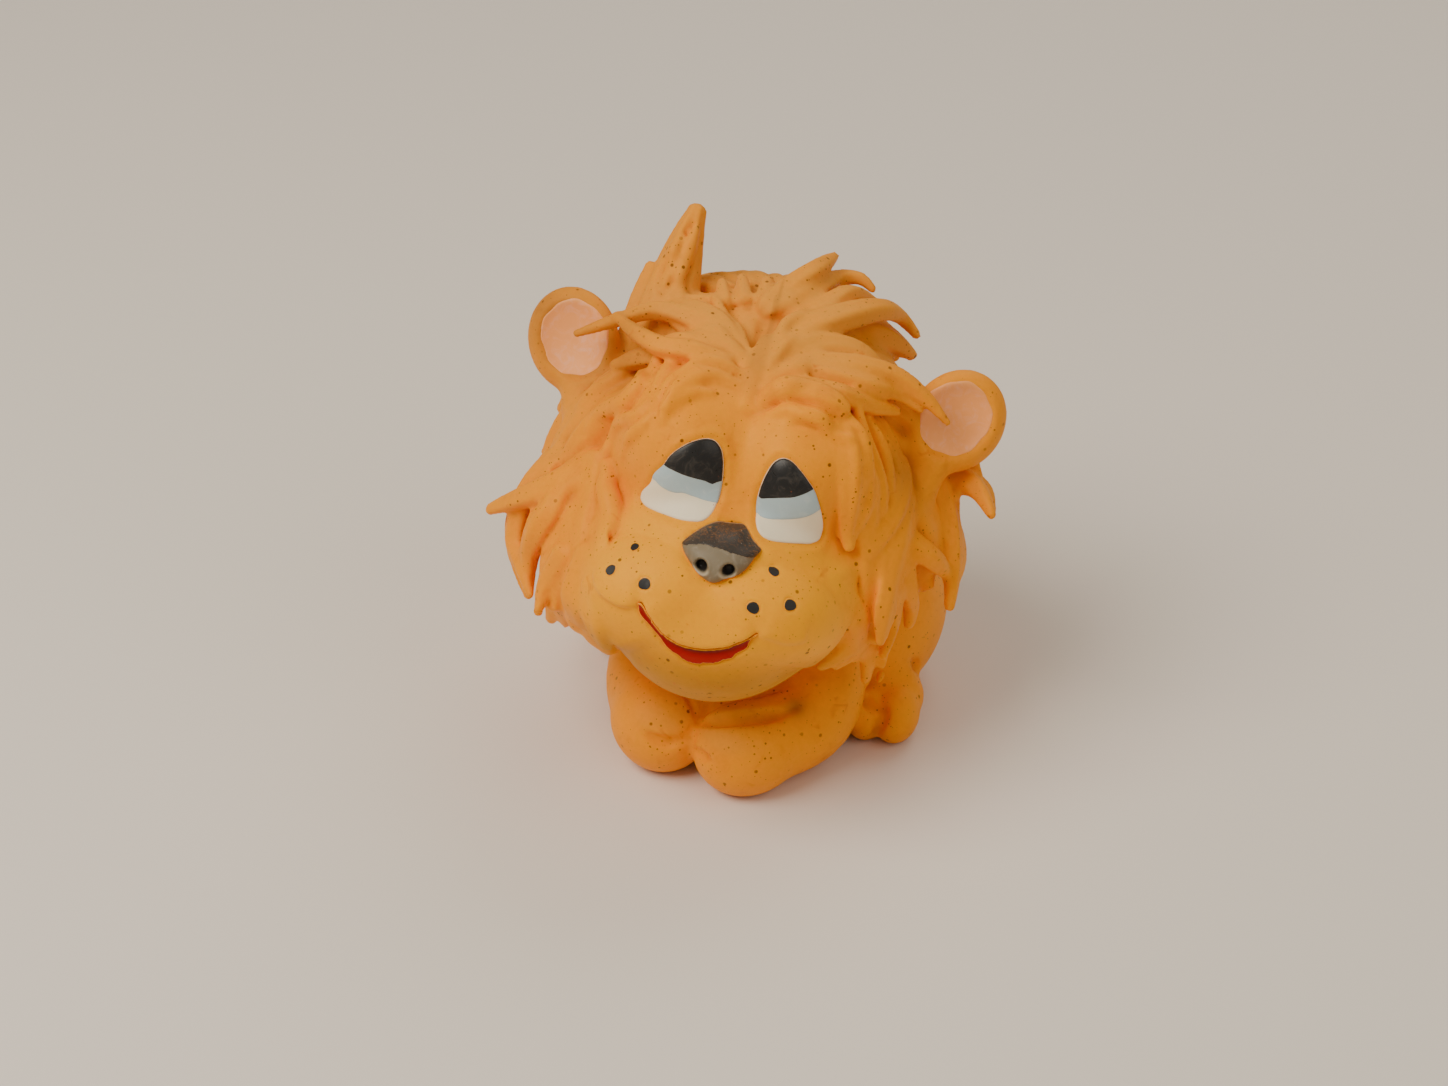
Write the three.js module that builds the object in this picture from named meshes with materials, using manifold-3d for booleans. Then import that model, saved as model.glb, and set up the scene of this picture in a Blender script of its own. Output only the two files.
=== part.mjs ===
// A latex squeaky dog toy: a crouched lion with a very large head.
// Millimetres, +Z up. The lion faces -Y and its left side is +X. The origin is the middle of the
// flat belly that it rests on.
//
// The toy is one moulded skin. Here each of its forms is a piece of its own: the hollow torso and
// the hollow head, their fibre fillings, the legs, paws, ears and tail, the locks of the mane, the
// painted features as thin inlays, and the squeaker in the belly.
import * as THREE from "three";
import { mergeVertices } from "three/addons/utils/BufferGeometryUtils.js";
import Module from "manifold-3d";

// Driving dimensions

const CLEARANCE = 0.3; // between pieces that touch
const SKIN = 2.6; // wall of the latex skin
const SQUEEZE = 5; // how far the head is pushed down when the toy is squeezed
const BEYOND = 200; // size of a cutting tool that reaches past the toy
const POCKET_TOP = 12; // how far a pocket's tool reaches out of the skin

// The head turns to its left, looks up and leans; its own frame has the face to -Y.
const HEAD_AT = [-2, -5, 51];
const HEAD_YAW = 16;
const HEAD_PITCH = -22;
const HEAD_ROLL = 9;

// Rounded forms of the head, blended into one surface: centre and half sizes.
const SKULL = { at: [0, 0, 0], half: [32, 31, 31] };
const MANE_MASS = { at: [0, 8, 5], half: [33, 29, 33] };
const MUZZLE = { at: [0, -17, -14], half: [26.5, 24, 18.5] };
const CHIN = { at: [0, -21, -23], half: [16, 17, 13] };
const LIP = { at: [9.5, -29, -14], half: [12, 12, 9] };
const BROW = { at: [10.5, -20, 11], half: [12, 12, 13] };
const HEAD_BLEND = 14; // the higher, the sharper the line where two forms meet

// Rounded forms of the torso, seen from its middle
const TORSO_AT = [0, 9, 19];
const BELLY = { at: [0, 0, 0], half: [22, 27, 24] };
const CHEST = { at: [0, -13, 1], half: [17, 15, 20] };
const RUMP = { at: [1, 14, -1], half: [21, 21, 21] };
const TORSO_BLEND = 8;
const NECK_RADIUS = 9; // opening from the head into the torso
const NECK_LENGTH = 60; // of the tool that cuts it, from the head's middle down
const NECK_BACK = 6; // how far it lies behind the head's middle

// Forelegs lie forward like thick rolls and point inwards; the left paw laps over the right one.
const SHOULDER = [13, -2, 24];
const ELBOW = [15.5, -15, 10.5];
const WRIST = [9.5, -26.5, 8.8];
const SHOULDER_RADIUS = 9.5;
const ELBOW_RADIUS = 9.8;
const WRIST_RADIUS = 8.8;
const FORE_PAW_AT = [6.8, -29.2, 8.2];
const FORE_PAW_HALF = [8.8, 8.8, 8.8];
const FORE_PAW_TURN = -30;
const RIGHT_PAW_BACK = 1.5; // how much less the right foreleg reaches forward
const RIGHT_PAW_OUT = 2.4; // and how much further out it lies

// Hind legs: folded thighs beside the torso, feet flat on the ground
const THIGH_AT = [18, 14, 17];
const THIGH_HALF = [12.5, 17.5, 17.5];
const HIND_FOOT_AT = [24, 0, 6.2];
const HIND_FOOT_HALF = [7.5, 9.6, 7.2];
const HIND_FOOT_TURN = 10;
const HIND_SHIFT = 2; // the crouch leans a little to the left side

const TOES = 2;
const TOE_SHARE = 0.62; // half width of a toe as a share of the paw's
const TOE_FORWARD = 0.3; // how far in front of the paw's middle the toes lie, as a share

// Ears
const EAR_AZIMUTH = 88; // where an ear stands on the head, in degrees from the face
const EAR_ELEVATION = 30;
const EAR_OUT = 8.5; // from the head's surface to the ear's middle
const EAR_HALF = [9.2, 4.3, 10.2];
const EAR_DISH = 2.5; // depth of its hollow
const EAR_HOLLOW = [0.78, 0.93, 0.79]; // its half sizes, and how far in front it lies, as shares
const EAR_LEAN = 24; // degrees that an ear's top leans outwards
const EAR_LINING = 0.9; // thickness of the pink inlay
const EAR_SPLAY = 14; // degrees that an ear opens outwards

// Painted features, as inlays in pockets of the skin
const EYE_WHITE_DEPTH = 1.5;
const IRIS_DEPTH = 0.9;
const PUPIL_DEPTH = 0.3;
const EYE_BULGE = 0.9;
const NOSE_DEPTH = 1.5;
const NOSE_BULGE = 3.2;
const NOSE_TOP_BASE = 0.7; // height above the skin where the black top of the nose begins
const NOSTRIL_RADIUS = 1.2;
const MOUTH_HALF_WIDTH = 1.7;
const MOUTH_DEPTH = 1.1;
const SPOT_RADIUS = 1.4;
const SPOT_DEPTH = 1;
const SPOT_BULGE = 0.2;

// Outlines on the head, as [azimuth, elevation] in degrees for the lion's left side
const EYE_OUTLINE = [
  [12, 22.5], [18, 17.5], [24, 11], [29.5, 4.5], [31, -1], [27, -4], [19, -5], [10.5, -3.5],
  [7.5, 2], [7.3, 9], [8.3, 16.5],
];
const IRIS_OUTLINE = [
  [12, 22.5], [18, 17.5], [24, 11], [27.3, 6.5], [21.5, 3.4], [14.5, 2.6], [7.9, 2.9], [7.3, 9],
  [8.3, 16.5],
];
const PUPIL_OUTLINE = [
  [12, 22.5], [18, 17.5], [23.2, 12], [15.5, 9.8], [7.8, 9.6], [8.3, 16.5],
];
const NOSE_OUTLINE = [
  [0, -0.5], [6, -1.8], [10.6, -6], [8.6, -10.4], [4, -13.6], [0, -14.6], [-4, -13.6],
  [-8.6, -10.4], [-10.6, -6], [-6, -1.8],
];
const NOSE_TOP_OUTLINE = [
  [0, 2], [8, 0], [13, -5], [11, -7.4], [5, -7], [0, -6.8], [-5, -7], [-11, -7.4], [-13, -5],
  [-8, 0],
];
const NOSTRIL_AT = [4, -11];
const NOSTRIL_HEIGHT = 0.75; // as a share of the nose's bulge
const MOUTH_LINE = [
  [-16, -21.5], [-12, -25.2], [-6, -29], [0, -31], [6, -29], [11, -25.5], [14.5, -22],
];
const MOUTH_CORNER = 0.35; // width at the mouth's corners as a share of its middle's
const LEFT_SPOTS = [[15, -10], [11.5, -16.5], [20.5, -15.5]];
const RIGHT_SPOTS = [[-21.5, -11], [-26, -16], [-16.5, -17]];

// Locks of the mane. Each runs over the head from root to tip, both as azimuth and elevation in
// degrees; lift is how far the tip stands off and half is its half width. Bow bends it sideways
// and arch bends it outwards on the way.
const LOCK_THICKNESS = 0.7; // of the half width
const LOCK_SINK = 1.5; // how deep a root starts below the surface
const LOCK_ROOT = 0.7; // width of a root as a share of the lock's
const LOCK_TAPER = 0.78; // how much narrower than that a lock's tip is
const BED_THICKNESS = 1.6; // the layer that joins the locks of a group
const BED_REACH = 0.35; // share of each lock that the bed runs along
const BED_WIDTH = 0.8; // how far it runs beside a lock, in half widths
const BED_SHOULDER = [0.6, 0.9]; // share of its width where it starts to fall, and its height there
const lock = (root, tip, lift, half, bow = 0, arch = 0) => ({ root, tip, lift, half, bow, arch });
const MANE = {
  crown_tuft: [
    lock([-93, 52], [-103, 68], 15.7, 6.4),
    lock([-86, 46], [-92, 60], 9, 4.4),
    lock([-84, 70], [-82, 52], 4, 3.8),
  ],
  forelock_right: [
    lock([-69, 78], [-78, 33], 10.6, 3.2, -1.4, -1),
    lock([-49, 59], [-78, 44], 7.7, 3.3, 2.6, -1),
    lock([-22, 60], [-68, 34], 3, 4),
    lock([-10, 52], [-62, 26], 2.4, 3.8, 3),
    lock([-2, 44], [-54, 17], 1.8, 3.4, 4),
  ],
  temple_mane_right: [
    lock([-58, 30], [-72, 0], 3, 4),
    lock([-70, 34], [-80, -4], 4.5, 4.2),
    lock([-84, 28], [-92, -2], 5, 4.2),
  ],
  side_mane_right: [
    lock([-55, 4], [-79, -15], 16.2, 3.4, 1.2, 1),
    lock([-75, 8], [-76, -36], 13.3, 3.2, -1, 6),
    lock([-61, 5], [-70, -35], 12.6, 3.4, -1.3, 3.3),
    lock([-84, -16], [-74, -41], 13, 2.4, 0, 1.7),
  ],
  cheek_mane_right: [
    lock([-45, -15], [-73, -44], 11.4, 3.6, 0.6, 0.5),
    lock([-38, -20], [-69, -46], 9, 3.4, 0, 1),
    lock([-37, -29], [-67, -53], 6, 3.6, 0.6, -0.5),
    lock([-31, -35], [-59, -59], 3.7, 3.6, 1.2, -0.5),
  ],
  forelock_left: [
    lock([42, 88], [125, 79], 9.4, 3.8),
    lock([80, 87], [114, 67], 7.6, 2.6, 0.7, 3.6),
    lock([50, 84], [106, 66], 5.7, 2.4, 0, 2.7),
    lock([51, 76], [111, 52], 6, 3.2, -1.2, 3.1),
  ],
  temple_mane_left: [
    lock([23, 66], [79, 31], 8.2, 3.2, 4, 1.5),
    lock([9, 59], [74, 37], 4.9, 3.6, 3.6, -0.6),
    lock([-6, 48], [32, 36], 1.1, 3.6, 2.9),
    lock([12, 50], [56, 30], 2, 3.4, 3),
  ],
  cheek_mane_left: [
    lock([29, 27], [38, -2], 3.9, 3.8, -0.6),
    lock([42, 21], [47, -8], 1.3, 3, 1.2, 0.9),
    lock([72, 23], [51, -4], 2.5, 4, 0, 0.9),
    lock([81, 5], [62, -29], 5.5, 4.8, 0, -1.6),
    lock([75, 0], [74, -37], 10.2, 2.6, -0.6, -0.8),
  ],
  side_mane_left: [
    lock([79, 4], [85, -27], 8.6, 2.6),
    lock([80, 5], [88, -10], 9.9, 3.2),
    lock([98, 25], [85, -17], 12.9, 3.6, 0, 1.6),
    lock([86, 8], [86, -15], 7.6, 1.6, 0, 0.8),
    lock([105, 10], [85, 7], 14.6, 3.2, -3.5, 3.6),
    lock([110, 35], [95, 14], 10.6, 2.6, -0.7, 3),
  ],
  beard_left: [
    lock([45, -19], [68, -40], 5.5, 3.6, -0.6),
    lock([38, -26], [62, -58], 6, 3.8),
    lock([54, -14], [78, -44], 11, 3),
  ],
  back_mane_right: [
    lock([-136, 72], [-132, 46], 4, 6),
    lock([-172, 76], [-164, 48], 4, 6),
    lock([-120, 36], [-114, 4], 5, 6.6),
    lock([-144, 38], [-146, 6], 5, 6.6),
    lock([-168, 40], [-170, 8], 5, 6.6),
  ],
  back_mane_left: [
    lock([156, 76], [162, 50], 4, 6),
    lock([124, 70], [128, 44], 4, 6),
    lock([120, 36], [116, 6], 5, 6.6),
    lock([143, 38], [145, 6], 5, 6.6),
    lock([166, 40], [168, 8], 5, 6.6),
  ],
  nape_mane_right: [
    lock([-106, 6], [-102, -28], 6, 6.6),
    lock([-129, 8], [-125, -26], 5, 6.6),
    lock([-153, 10], [-149, -22], 5, 6.6),
  ],
  nape_mane_left: [
    lock([108, 6], [105, -26], 6, 6.6),
    lock([131, 8], [127, -26], 5, 6.6),
    lock([155, 10], [151, -22], 5, 6.6),
    lock([180, 10], [178, -20], 5, 6.6),
  ],
};

// Tail: lies round the right haunch, with a tuft at its end.
const TAIL_PATH = [[0, 39, 10], [-13, 40, 6.5], [-25, 33, 5.5], [-31, 23, 5.5]];
const TAIL_ROOT_RADIUS = 6;
const TAIL_END_RADIUS = 4;
const TUFT_PATH = [[-32, 20.5, 6], [-35, 14, 6.8], [-35.5, 6, 6.8], [-33, -1, 5.6]];
const TUFT_RADIUS = 6;

// Squeaker: a plastic cup pressed into a hole in the belly, with a reed inside.
const SQUEAKER_AT = [0, 17, 0];
const FLANGE_RADIUS = 8;
const FLANGE_THICKNESS = 1.2;
const FLANGE_RECESS = 0.4; // how far it lies above the ground
const CUP_RADIUS = 6.2;
const CUP_WALL = 1.4;
const CUP_HEIGHT = 12;
const AIR_HOLE_RADIUS = 1.2;
const HOLDER_THICKNESS = 2.4;
const HOLDER_DROP = 3.4; // from the cup's rim to the holder's top
const REED_LENGTH = 6.4;
const REED_WIDTH = 2.2;
const REED_THICKNESS = 0.5;
const REED_ROOT = 1.2; // length held at the hinge
const WEDGE_THICKNESS = 1.1;
const REED_INSET = 0.8; // from the holder's edge to the reed's held end
const SLOT = [REED_WIDTH * 0.7, REED_LENGTH * 0.6]; // the opening under the reed
const SLOT_FORWARD = 0.6; // from the reed's middle to the slot's

// Facets, each as rows and columns round a form
const HEAD_FACETS = [17, 26];
const HEAD_INNER_FACETS = [12, 18];
const TORSO_FACETS = [13, 24];
const TORSO_INNER_FACETS = [9, 16];
const ROUND_FACETS = [8, 14];
const DISH_FACETS = [6, 12];
const SMALL_FACETS = [5, 10];
const LEG_FACETS = [6, 14];
const TAIL_FACETS = [8, 10];
const PAW_FACETS = [8, 16];
const LOCK_FACETS = [5, 6];
const TURNED_FACETS = 20;
const MOUTH_FACETS = [12, 8];
const OUTLINE_STEPS = 14;
const SPOT_STEPS = 8;
const BED_STEPS = 12;

// Materials

const material = (color, roughness) => new THREE.MeshStandardMaterial({ color, roughness, metalness: 0 });
const ORANGE_LATEX = material(0xcc7a1f, 0.5);
const MANE_LATEX = material(0xb06a24, 0.55);
const EAR_PINK = material(0xb8735c, 0.6);
const EYE_WHITE = material(0xe2ddc8, 0.4);
const EYE_BLUE = material(0x9fb6bd, 0.4);
const BLACK_PAINT = material(0x1c1a19, 0.35);
const NOSE_GREY = material(0x86837d, 0.4);
const MOUTH_RED = material(0xa83226, 0.45);
const FIBRE = material(0xe9e6df, 0.95);
const WHITE_PLASTIC = material(0xe8e6e0, 0.35);

// Solids

const wasm = await Module();
wasm.setup();

const vector = (p) => new THREE.Vector3(...p);
const radians = THREE.MathUtils.degToRad;

// The closed surface through a row of rings; a ring of one point is a pole.
function surface(rings) {
  const points = rings.flat();
  const starts = [];
  let count = 0;
  for (const ring of rings) {
    starts.push(count);
    count += ring.length;
  }
  const index = [];
  for (let i = 0; i + 1 < rings.length; i++) {
    const [a, b] = [starts[i], starts[i + 1]];
    const [na, nb] = [rings[i].length, rings[i + 1].length];
    for (let j = 0; j < Math.max(na, nb); j++) {
      const k = (j + 1) % Math.max(na, nb);
      if (na > 1) index.push(a + j, a + k, b + (nb > 1 ? j : 0));
      if (nb > 1) index.push(a + (na > 1 ? k : 0), b + k, b + j);
    }
  }
  const positions = new Float32Array(points.flatMap((p) => [p.x, p.y, p.z]));
  return new THREE.BufferGeometry()
    .setAttribute("position", new THREE.BufferAttribute(positions, 3))
    .setIndex(index);
}

// A geometry as a solid with its faces outwards.
function solid(geometry) {
  const bare = geometry.clone();
  for (const name of Object.keys(bare.attributes)) {
    if (name !== "position") bare.deleteAttribute(name);
  }
  const merged = mergeVertices(bare, 1e-4);
  const corners = Array.from(merged.index.array);
  const p = merged.attributes.position;
  const [a, b, c] = [new THREE.Vector3(), new THREE.Vector3(), new THREE.Vector3()];
  let volume = 0;
  for (let i = 0; i < corners.length; i += 3) {
    [a, b, c].forEach((v, j) => v.fromBufferAttribute(p, corners[i + j]));
    volume += a.dot(b.cross(c));
  }
  if (volume < 0) corners.reverse();
  const triVerts = new Uint32Array(corners);
  const vertProperties = new Float32Array(p.array);
  return new wasm.Manifold(new wasm.Mesh({ numProp: 3, vertProperties, triVerts }));
}

const join = (solids) => solids.reduce((a, b) => a.add(b));
const cut = (body, ...tools) => tools.reduce((a, b) => a.subtract(b), body);

// The largest body of a solid: a cut can leave crumbs beside it.
function whole(body) {
  const bodies = body.decompose();
  return bodies.reduce((a, b) => (b.volume() > a.volume() ? b : a));
}

function geometryOf(body) {
  const mesh = body.getMesh();
  const geometry = new THREE.BufferGeometry()
    .setAttribute("position", new THREE.BufferAttribute(new Float32Array(mesh.vertProperties), 3))
    .setIndex(new THREE.BufferAttribute(new Uint32Array(mesh.triVerts), 1));
  geometry.computeVertexNormals();
  return geometry;
}

// Rounded forms

const mirrored = (form) => ({ at: [-form.at[0], form.at[1], form.at[2]], half: form.half });
const pair = (form) => [form, mirrored(form)];

// How far the ray from the middle along u runs until it leaves a form grown by some millimetres.
function reach({ at, half }, u, grow) {
  const size = half.map((h) => Math.max(h + grow, 0.5));
  const ray = u.toArray().map((value, i) => value / size[i]);
  const place = at.map((value, i) => value / size[i]);
  const dot = (p, q) => p[0] * q[0] + p[1] * q[1] + p[2] * q[2];
  const along = dot(ray, place);
  const square = dot(ray, ray);
  const under = along * along - square * (dot(place, place) - 1);
  return under > 0 ? Math.max((along + Math.sqrt(under)) / square, 0) : 0;
}

// The blended surface of several forms, as its distance from the middle along each direction.
function blended(forms, sharpness) {
  return (u, grow = 0) => {
    const sum = forms.reduce((total, form) => total + reach(form, u, grow) ** sharpness, 0);
    return sum ** (1 / sharpness);
  };
}

// The closed shape whose surface lies at radiusOf(direction) round the middle.
function radialShape(radiusOf, [rows, columns]) {
  const rings = [];
  for (let i = 0; i <= rows; i++) {
    const polar = (Math.PI * i) / rows;
    const steps = i === 0 || i === rows ? 1 : columns;
    const ring = [];
    for (let j = 0; j < steps; j++) {
      const u = new THREE.Vector3().setFromSphericalCoords(1, polar, (2 * Math.PI * j) / columns);
      u.set(u.x, -u.z, u.y);
      ring.push(u.multiplyScalar(radiusOf(u)));
    }
    rings.push(ring);
  }
  return surface(rings);
}

// A round tube that swells and tapers along a curve, with rounded ends.
function taperedTube(path, radiusAt, [steps, sides]) {
  const curve = new THREE.CatmullRomCurve3(path.map(vector));
  const rings = [];
  const end = Math.ceil(sides / 4);
  const ringAt = (t, radius, shift) => {
    const along = curve.getTangentAt(t);
    const side = new THREE.Vector3(0, 0, 1).cross(along).normalize();
    const up = along.clone().cross(side);
    const middle = curve.getPointAt(t).addScaledVector(along, shift);
    if (radius < 1e-6) return [middle];
    return Array.from({ length: sides }, (_, j) => {
      const angle = (2 * Math.PI * j) / sides;
      return middle
        .clone()
        .addScaledVector(side, radius * Math.cos(angle))
        .addScaledVector(up, radius * Math.sin(angle));
    });
  };
  for (let i = 0; i < end; i++) {
    const angle = (Math.PI / 2) * (i / end);
    rings.push(ringAt(0, radiusAt(0) * Math.sin(angle), -radiusAt(0) * Math.cos(angle)));
  }
  for (let i = 0; i <= steps; i++) rings.push(ringAt(i / steps, radiusAt(i / steps), 0));
  for (let i = end - 1; i >= 0; i--) {
    const angle = (Math.PI / 2) * (i / end);
    rings.push(ringAt(1, radiusAt(1) * Math.sin(angle), radiusAt(1) * Math.cos(angle)));
  }
  return surface(rings);
}

// Places in the part's frame

// Everything below a height
const below = (height) =>
  solid(new THREE.BoxGeometry(BEYOND, BEYOND, BEYOND).translate(0, 0, height - BEYOND / 2));

const headFrame = new THREE.Matrix4().compose(
  vector(HEAD_AT),
  new THREE.Quaternion().setFromEuler(
    new THREE.Euler(radians(HEAD_PITCH), radians(HEAD_ROLL), radians(HEAD_YAW), "ZXY"),
  ),
  new THREE.Vector3(1, 1, 1),
);
const intoHead = headFrame.clone().invert();

// Head surface

const headRadius = blended(
  [SKULL, MANE_MASS, MUZZLE, CHIN, ...pair(LIP), ...pair(BROW)],
  HEAD_BLEND,
);
const headShape = (grow) =>
  radialShape((u) => headRadius(u, grow), grow < 0 ? HEAD_INNER_FACETS : HEAD_FACETS);

// The direction of an azimuth and an elevation in degrees, 0, 0 being straight out of the face.
function direction([azimuth, elevation]) {
  const [a, e] = [radians(azimuth), radians(elevation)];
  return new THREE.Vector3(Math.sin(a) * Math.cos(e), -Math.cos(a) * Math.cos(e), Math.sin(e));
}

const onHead = (place, height = 0) => {
  const u = direction(place);
  return u.multiplyScalar(headRadius(u) + height);
};

// A patch on the head inside an outline grown by some millimetres. Each layer is a share of the
// way from the middle to the outline and a height over the surface; together they close it.
function patch(edge, layers) {
  const middle = edge.reduce((a, b) => a.clone().add(b)).normalize();
  return surface(
    layers.map(([share, height]) => {
      const ring = share === 0 ? [middle] : edge.map((u) => middle.clone().lerp(u, share).normalize());
      return ring.map((u) => u.clone().multiplyScalar(headRadius(u) + height));
    }),
  );
}

// The edge of an outline, given as azimuth and elevation, as directions in even steps
function smoothEdge(outline, grow, steps = OUTLINE_STEPS) {
  const closed = new THREE.CatmullRomCurve3(outline.map(direction), true, "centripetal");
  const edge = closed.getSpacedPoints(steps).slice(0, steps).map((u) => u.normalize());
  const middle = edge.reduce((a, b) => a.clone().add(b)).normalize();
  return edge.map((u) => {
    const away = u.clone().sub(middle).normalize();
    return u.clone().addScaledVector(away, grow / headRadius(u)).normalize();
  });
}

function inlay(outline, depth, bulge) {
  const dome = [0, 0.5, 1].map((share) => [share, bulge * (1 - share * share)]);
  return solid(patch(smoothEdge(outline, 0), [...dome, [1, -depth], [0.5, -depth], [0, -depth]]));
}
function pocket(outline, depth, grow = CLEARANCE) {
  const [top, base] = [POCKET_TOP, -depth - grow];
  const layers = [[0, top], [1, top], [1, base], [0.5, base], [0, base]];
  return solid(patch(smoothEdge(outline, grow), layers));
}
const onHeadSide = (side, outline) => outline.map(([a, e]) => [side * a, e]);

// A painted spot: a small disc round a place on the head
function spot(place, depth, height, grow) {
  const middle = direction(place);
  const east = new THREE.Vector3(0, 0, 1).cross(middle).normalize();
  const north = middle.clone().cross(east);
  const size = (SPOT_RADIUS + grow) / headRadius(middle);
  const edge = Array.from({ length: SPOT_STEPS }, (_, i) => {
    const angle = (2 * Math.PI * i) / SPOT_STEPS;
    return middle
      .clone()
      .addScaledVector(east, size * Math.cos(angle))
      .addScaledVector(north, size * Math.sin(angle))
      .normalize();
  });
  return solid(patch(edge, [[0, height], [1, height], [1, -depth], [0, -depth]]));
}

// A strip that runs over the head along a line of directions, thick and wide by its share of
// the way.
function strip(curve, { heightAt, halfAt, thickAt, across, steps, sides, grow }) {
  const rings = [];
  for (let i = 0; i <= steps; i++) {
    const t = i / steps;
    const [before, middle, after] = [t - 0.02, t, t + 0.02].map((s) => {
      const share = THREE.MathUtils.clamp(s, 0, 1);
      return curve(share, heightAt(share));
    });
    const along = after.clone().sub(before).normalize();
    const side = across ? across.clone() : middle.clone().cross(along);
    side.addScaledVector(along, -side.dot(along)).normalize();
    const up = side.clone().cross(along).normalize();
    const [half, thick] = [halfAt(t), thickAt(t)].map((value) => value + grow);
    if (i === 0 || i === steps) {
      rings.push([middle.addScaledVector(along, (i === 0 ? -1 : 1) * (grow + 0.4))]);
      continue;
    }
    rings.push(
      Array.from({ length: sides }, (_, j) => {
        const angle = (2 * Math.PI * j) / sides;
        return middle
          .clone()
          .addScaledVector(side, half * Math.cos(angle))
          .addScaledVector(up, thick * Math.sin(angle));
      }),
    );
  }
  return surface(rings);
}

// Mane

// A lock leaves the head at its root, swells quickly, and tapers like a finger.
function lockShape({ root, tip, lift, half, bow, arch }, grow) {
  const [from, to] = [direction(root), direction(tip)];
  const across = from.clone().cross(to).normalize();
  const angle = from.angleTo(to);
  const curve = (t, height) => {
    const u = from.clone().applyAxisAngle(across, angle * t);
    const point = u.clone().multiplyScalar(headRadius(u) + height);
    return point.addScaledVector(across, bow * Math.sin(Math.PI * t));
  };
  const swell = (t) => Math.min(1, LOCK_ROOT + 1.5 * t) * (1 - LOCK_TAPER * t ** 1.7);
  const [steps, sides] = LOCK_FACETS;
  return strip(curve, {
    heightAt: (t) => LOCK_SINK * (t - 1) + lift * t ** 1.5 + arch * Math.sin(Math.PI * t),
    halfAt: (t) => half * swell(t),
    thickAt: (t) => half * LOCK_THICKNESS * swell(t),
    across,
    steps,
    sides,
    grow,
  });
}

// The bed is a low mound over the roots of a group of locks.
function bedShape(locks, grow) {
  const marks = locks.flatMap(({ root, tip, half }) =>
    [0, BED_REACH].map((share) => ({
      u: direction(root).lerp(direction(tip), share).normalize(),
      margin: half * BED_WIDTH + grow,
    })),
  );
  const middle = marks.reduce((sum, { u }) => sum.add(u), new THREE.Vector3()).normalize();
  const east = new THREE.Vector3(0, 0, 1).cross(middle).normalize();
  const north = middle.clone().cross(east);
  const radius = headRadius(middle);
  const edge = Array.from({ length: BED_STEPS }, (_, i) => {
    const angle = (2 * Math.PI * i) / BED_STEPS;
    const out = east.clone().multiplyScalar(Math.cos(angle)).addScaledVector(north, Math.sin(angle));
    const extent = Math.max(...marks.map(({ u, margin }) => u.dot(out) * radius + margin));
    return middle.clone().addScaledVector(out, extent / radius).normalize();
  });
  const top = BED_THICKNESS + grow;
  const [shoulder, height] = BED_SHOULDER;
  return patch(edge, [
    [0, top], [shoulder, top * height], [1, grow],
    [1, -LOCK_SINK], [shoulder, -LOCK_SINK], [0, -LOCK_SINK],
  ]);
}

const groupOfLocks = (locks, grow) =>
  join([bedShape(locks, grow), ...locks.map((one) => lockShape(one, grow))].map(solid));

// Ears

function earFrame(side) {
  const place = [side * EAR_AZIMUTH, EAR_ELEVATION];
  return new THREE.Matrix4().compose(
    onHead(place, EAR_OUT),
    new THREE.Quaternion().setFromEuler(
      new THREE.Euler(0, radians(side * EAR_LEAN), radians(side * EAR_SPLAY), "ZXY"),
    ),
    new THREE.Vector3(1, 1, 1),
  );
}

const ellipsoid = (half, at, facets) =>
  radialShape((u) => 1 / Math.hypot(u.x / half[0], u.y / half[1], u.z / half[2]), facets)
    .translate(...at);

// The ear is a thick disc with a hollow in front; the lining fills the bottom of the hollow.
const earHollow = (grow, depth) => {
  const [x, y, z] = EAR_HALF.map((half, i) => half * EAR_HOLLOW[i]);
  return ellipsoid([x + grow, depth + grow, z + grow], [0, -y, 0], DISH_FACETS);
};

function ear(side, grow) {
  const half = EAR_HALF.map((h) => h + grow);
  return solid(ellipsoid(half, [0, 0, 0], ROUND_FACETS).applyMatrix4(earFrame(side)));
}

// Limbs and torso, in the part's frame

const torsoRadius = blended([BELLY, CHEST, RUMP], TORSO_BLEND);
const torso = (grow) =>
  solid(
    radialShape(
      (u) => torsoRadius(u, grow),
      grow < 0 ? TORSO_INNER_FACETS : TORSO_FACETS,
    ).translate(...TORSO_AT),
  );

// The right foreleg is the left one's mirror image, a little shorter in front and further out.
const reachOf = (side, [x, y, z], share) =>
  side > 0 ? [x, y, z] : [-x - RIGHT_PAW_OUT * share, y + RIGHT_PAW_BACK * share, z];

function foreleg(side, grow) {
  const path = [SHOULDER, ELBOW, WRIST].map((p, i) => reachOf(side, p, i / 2));
  const radii = new THREE.CatmullRomCurve3(
    [SHOULDER_RADIUS, ELBOW_RADIUS, WRIST_RADIUS].map((r, i) => new THREE.Vector3(i, r, 0)),
  );
  return solid(taperedTube(path, (t) => radii.getPoint(t).y + grow, LEG_FACETS));
}

// A paw is a rounded pad with its toes in a row in front.
function paw(side, at, half, turn, grow) {
  const toeHalf = half[0] * TOE_SHARE;
  const toes = Array.from({ length: TOES }, (_, i) => {
    const across = (i - (TOES - 1) / 2) / ((TOES - 1) / 2);
    return {
      at: [across * (half[0] - toeHalf), -half[1] * TOE_FORWARD, -half[2] * 0.1],
      half: [toeHalf, half[1] * (1 - TOE_FORWARD), half[2] * 0.9],
    };
  });
  const pad = { at: [0, half[1] * 0.2, 0], half: [half[0], half[1] * 0.8, half[2]] };
  const radiusOf = blended([pad, ...toes], 22);
  return solid(
    radialShape((u) => radiusOf(u, grow), PAW_FACETS)
      .rotateZ(radians(side * turn))
      .translate(...at),
  );
}

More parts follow.
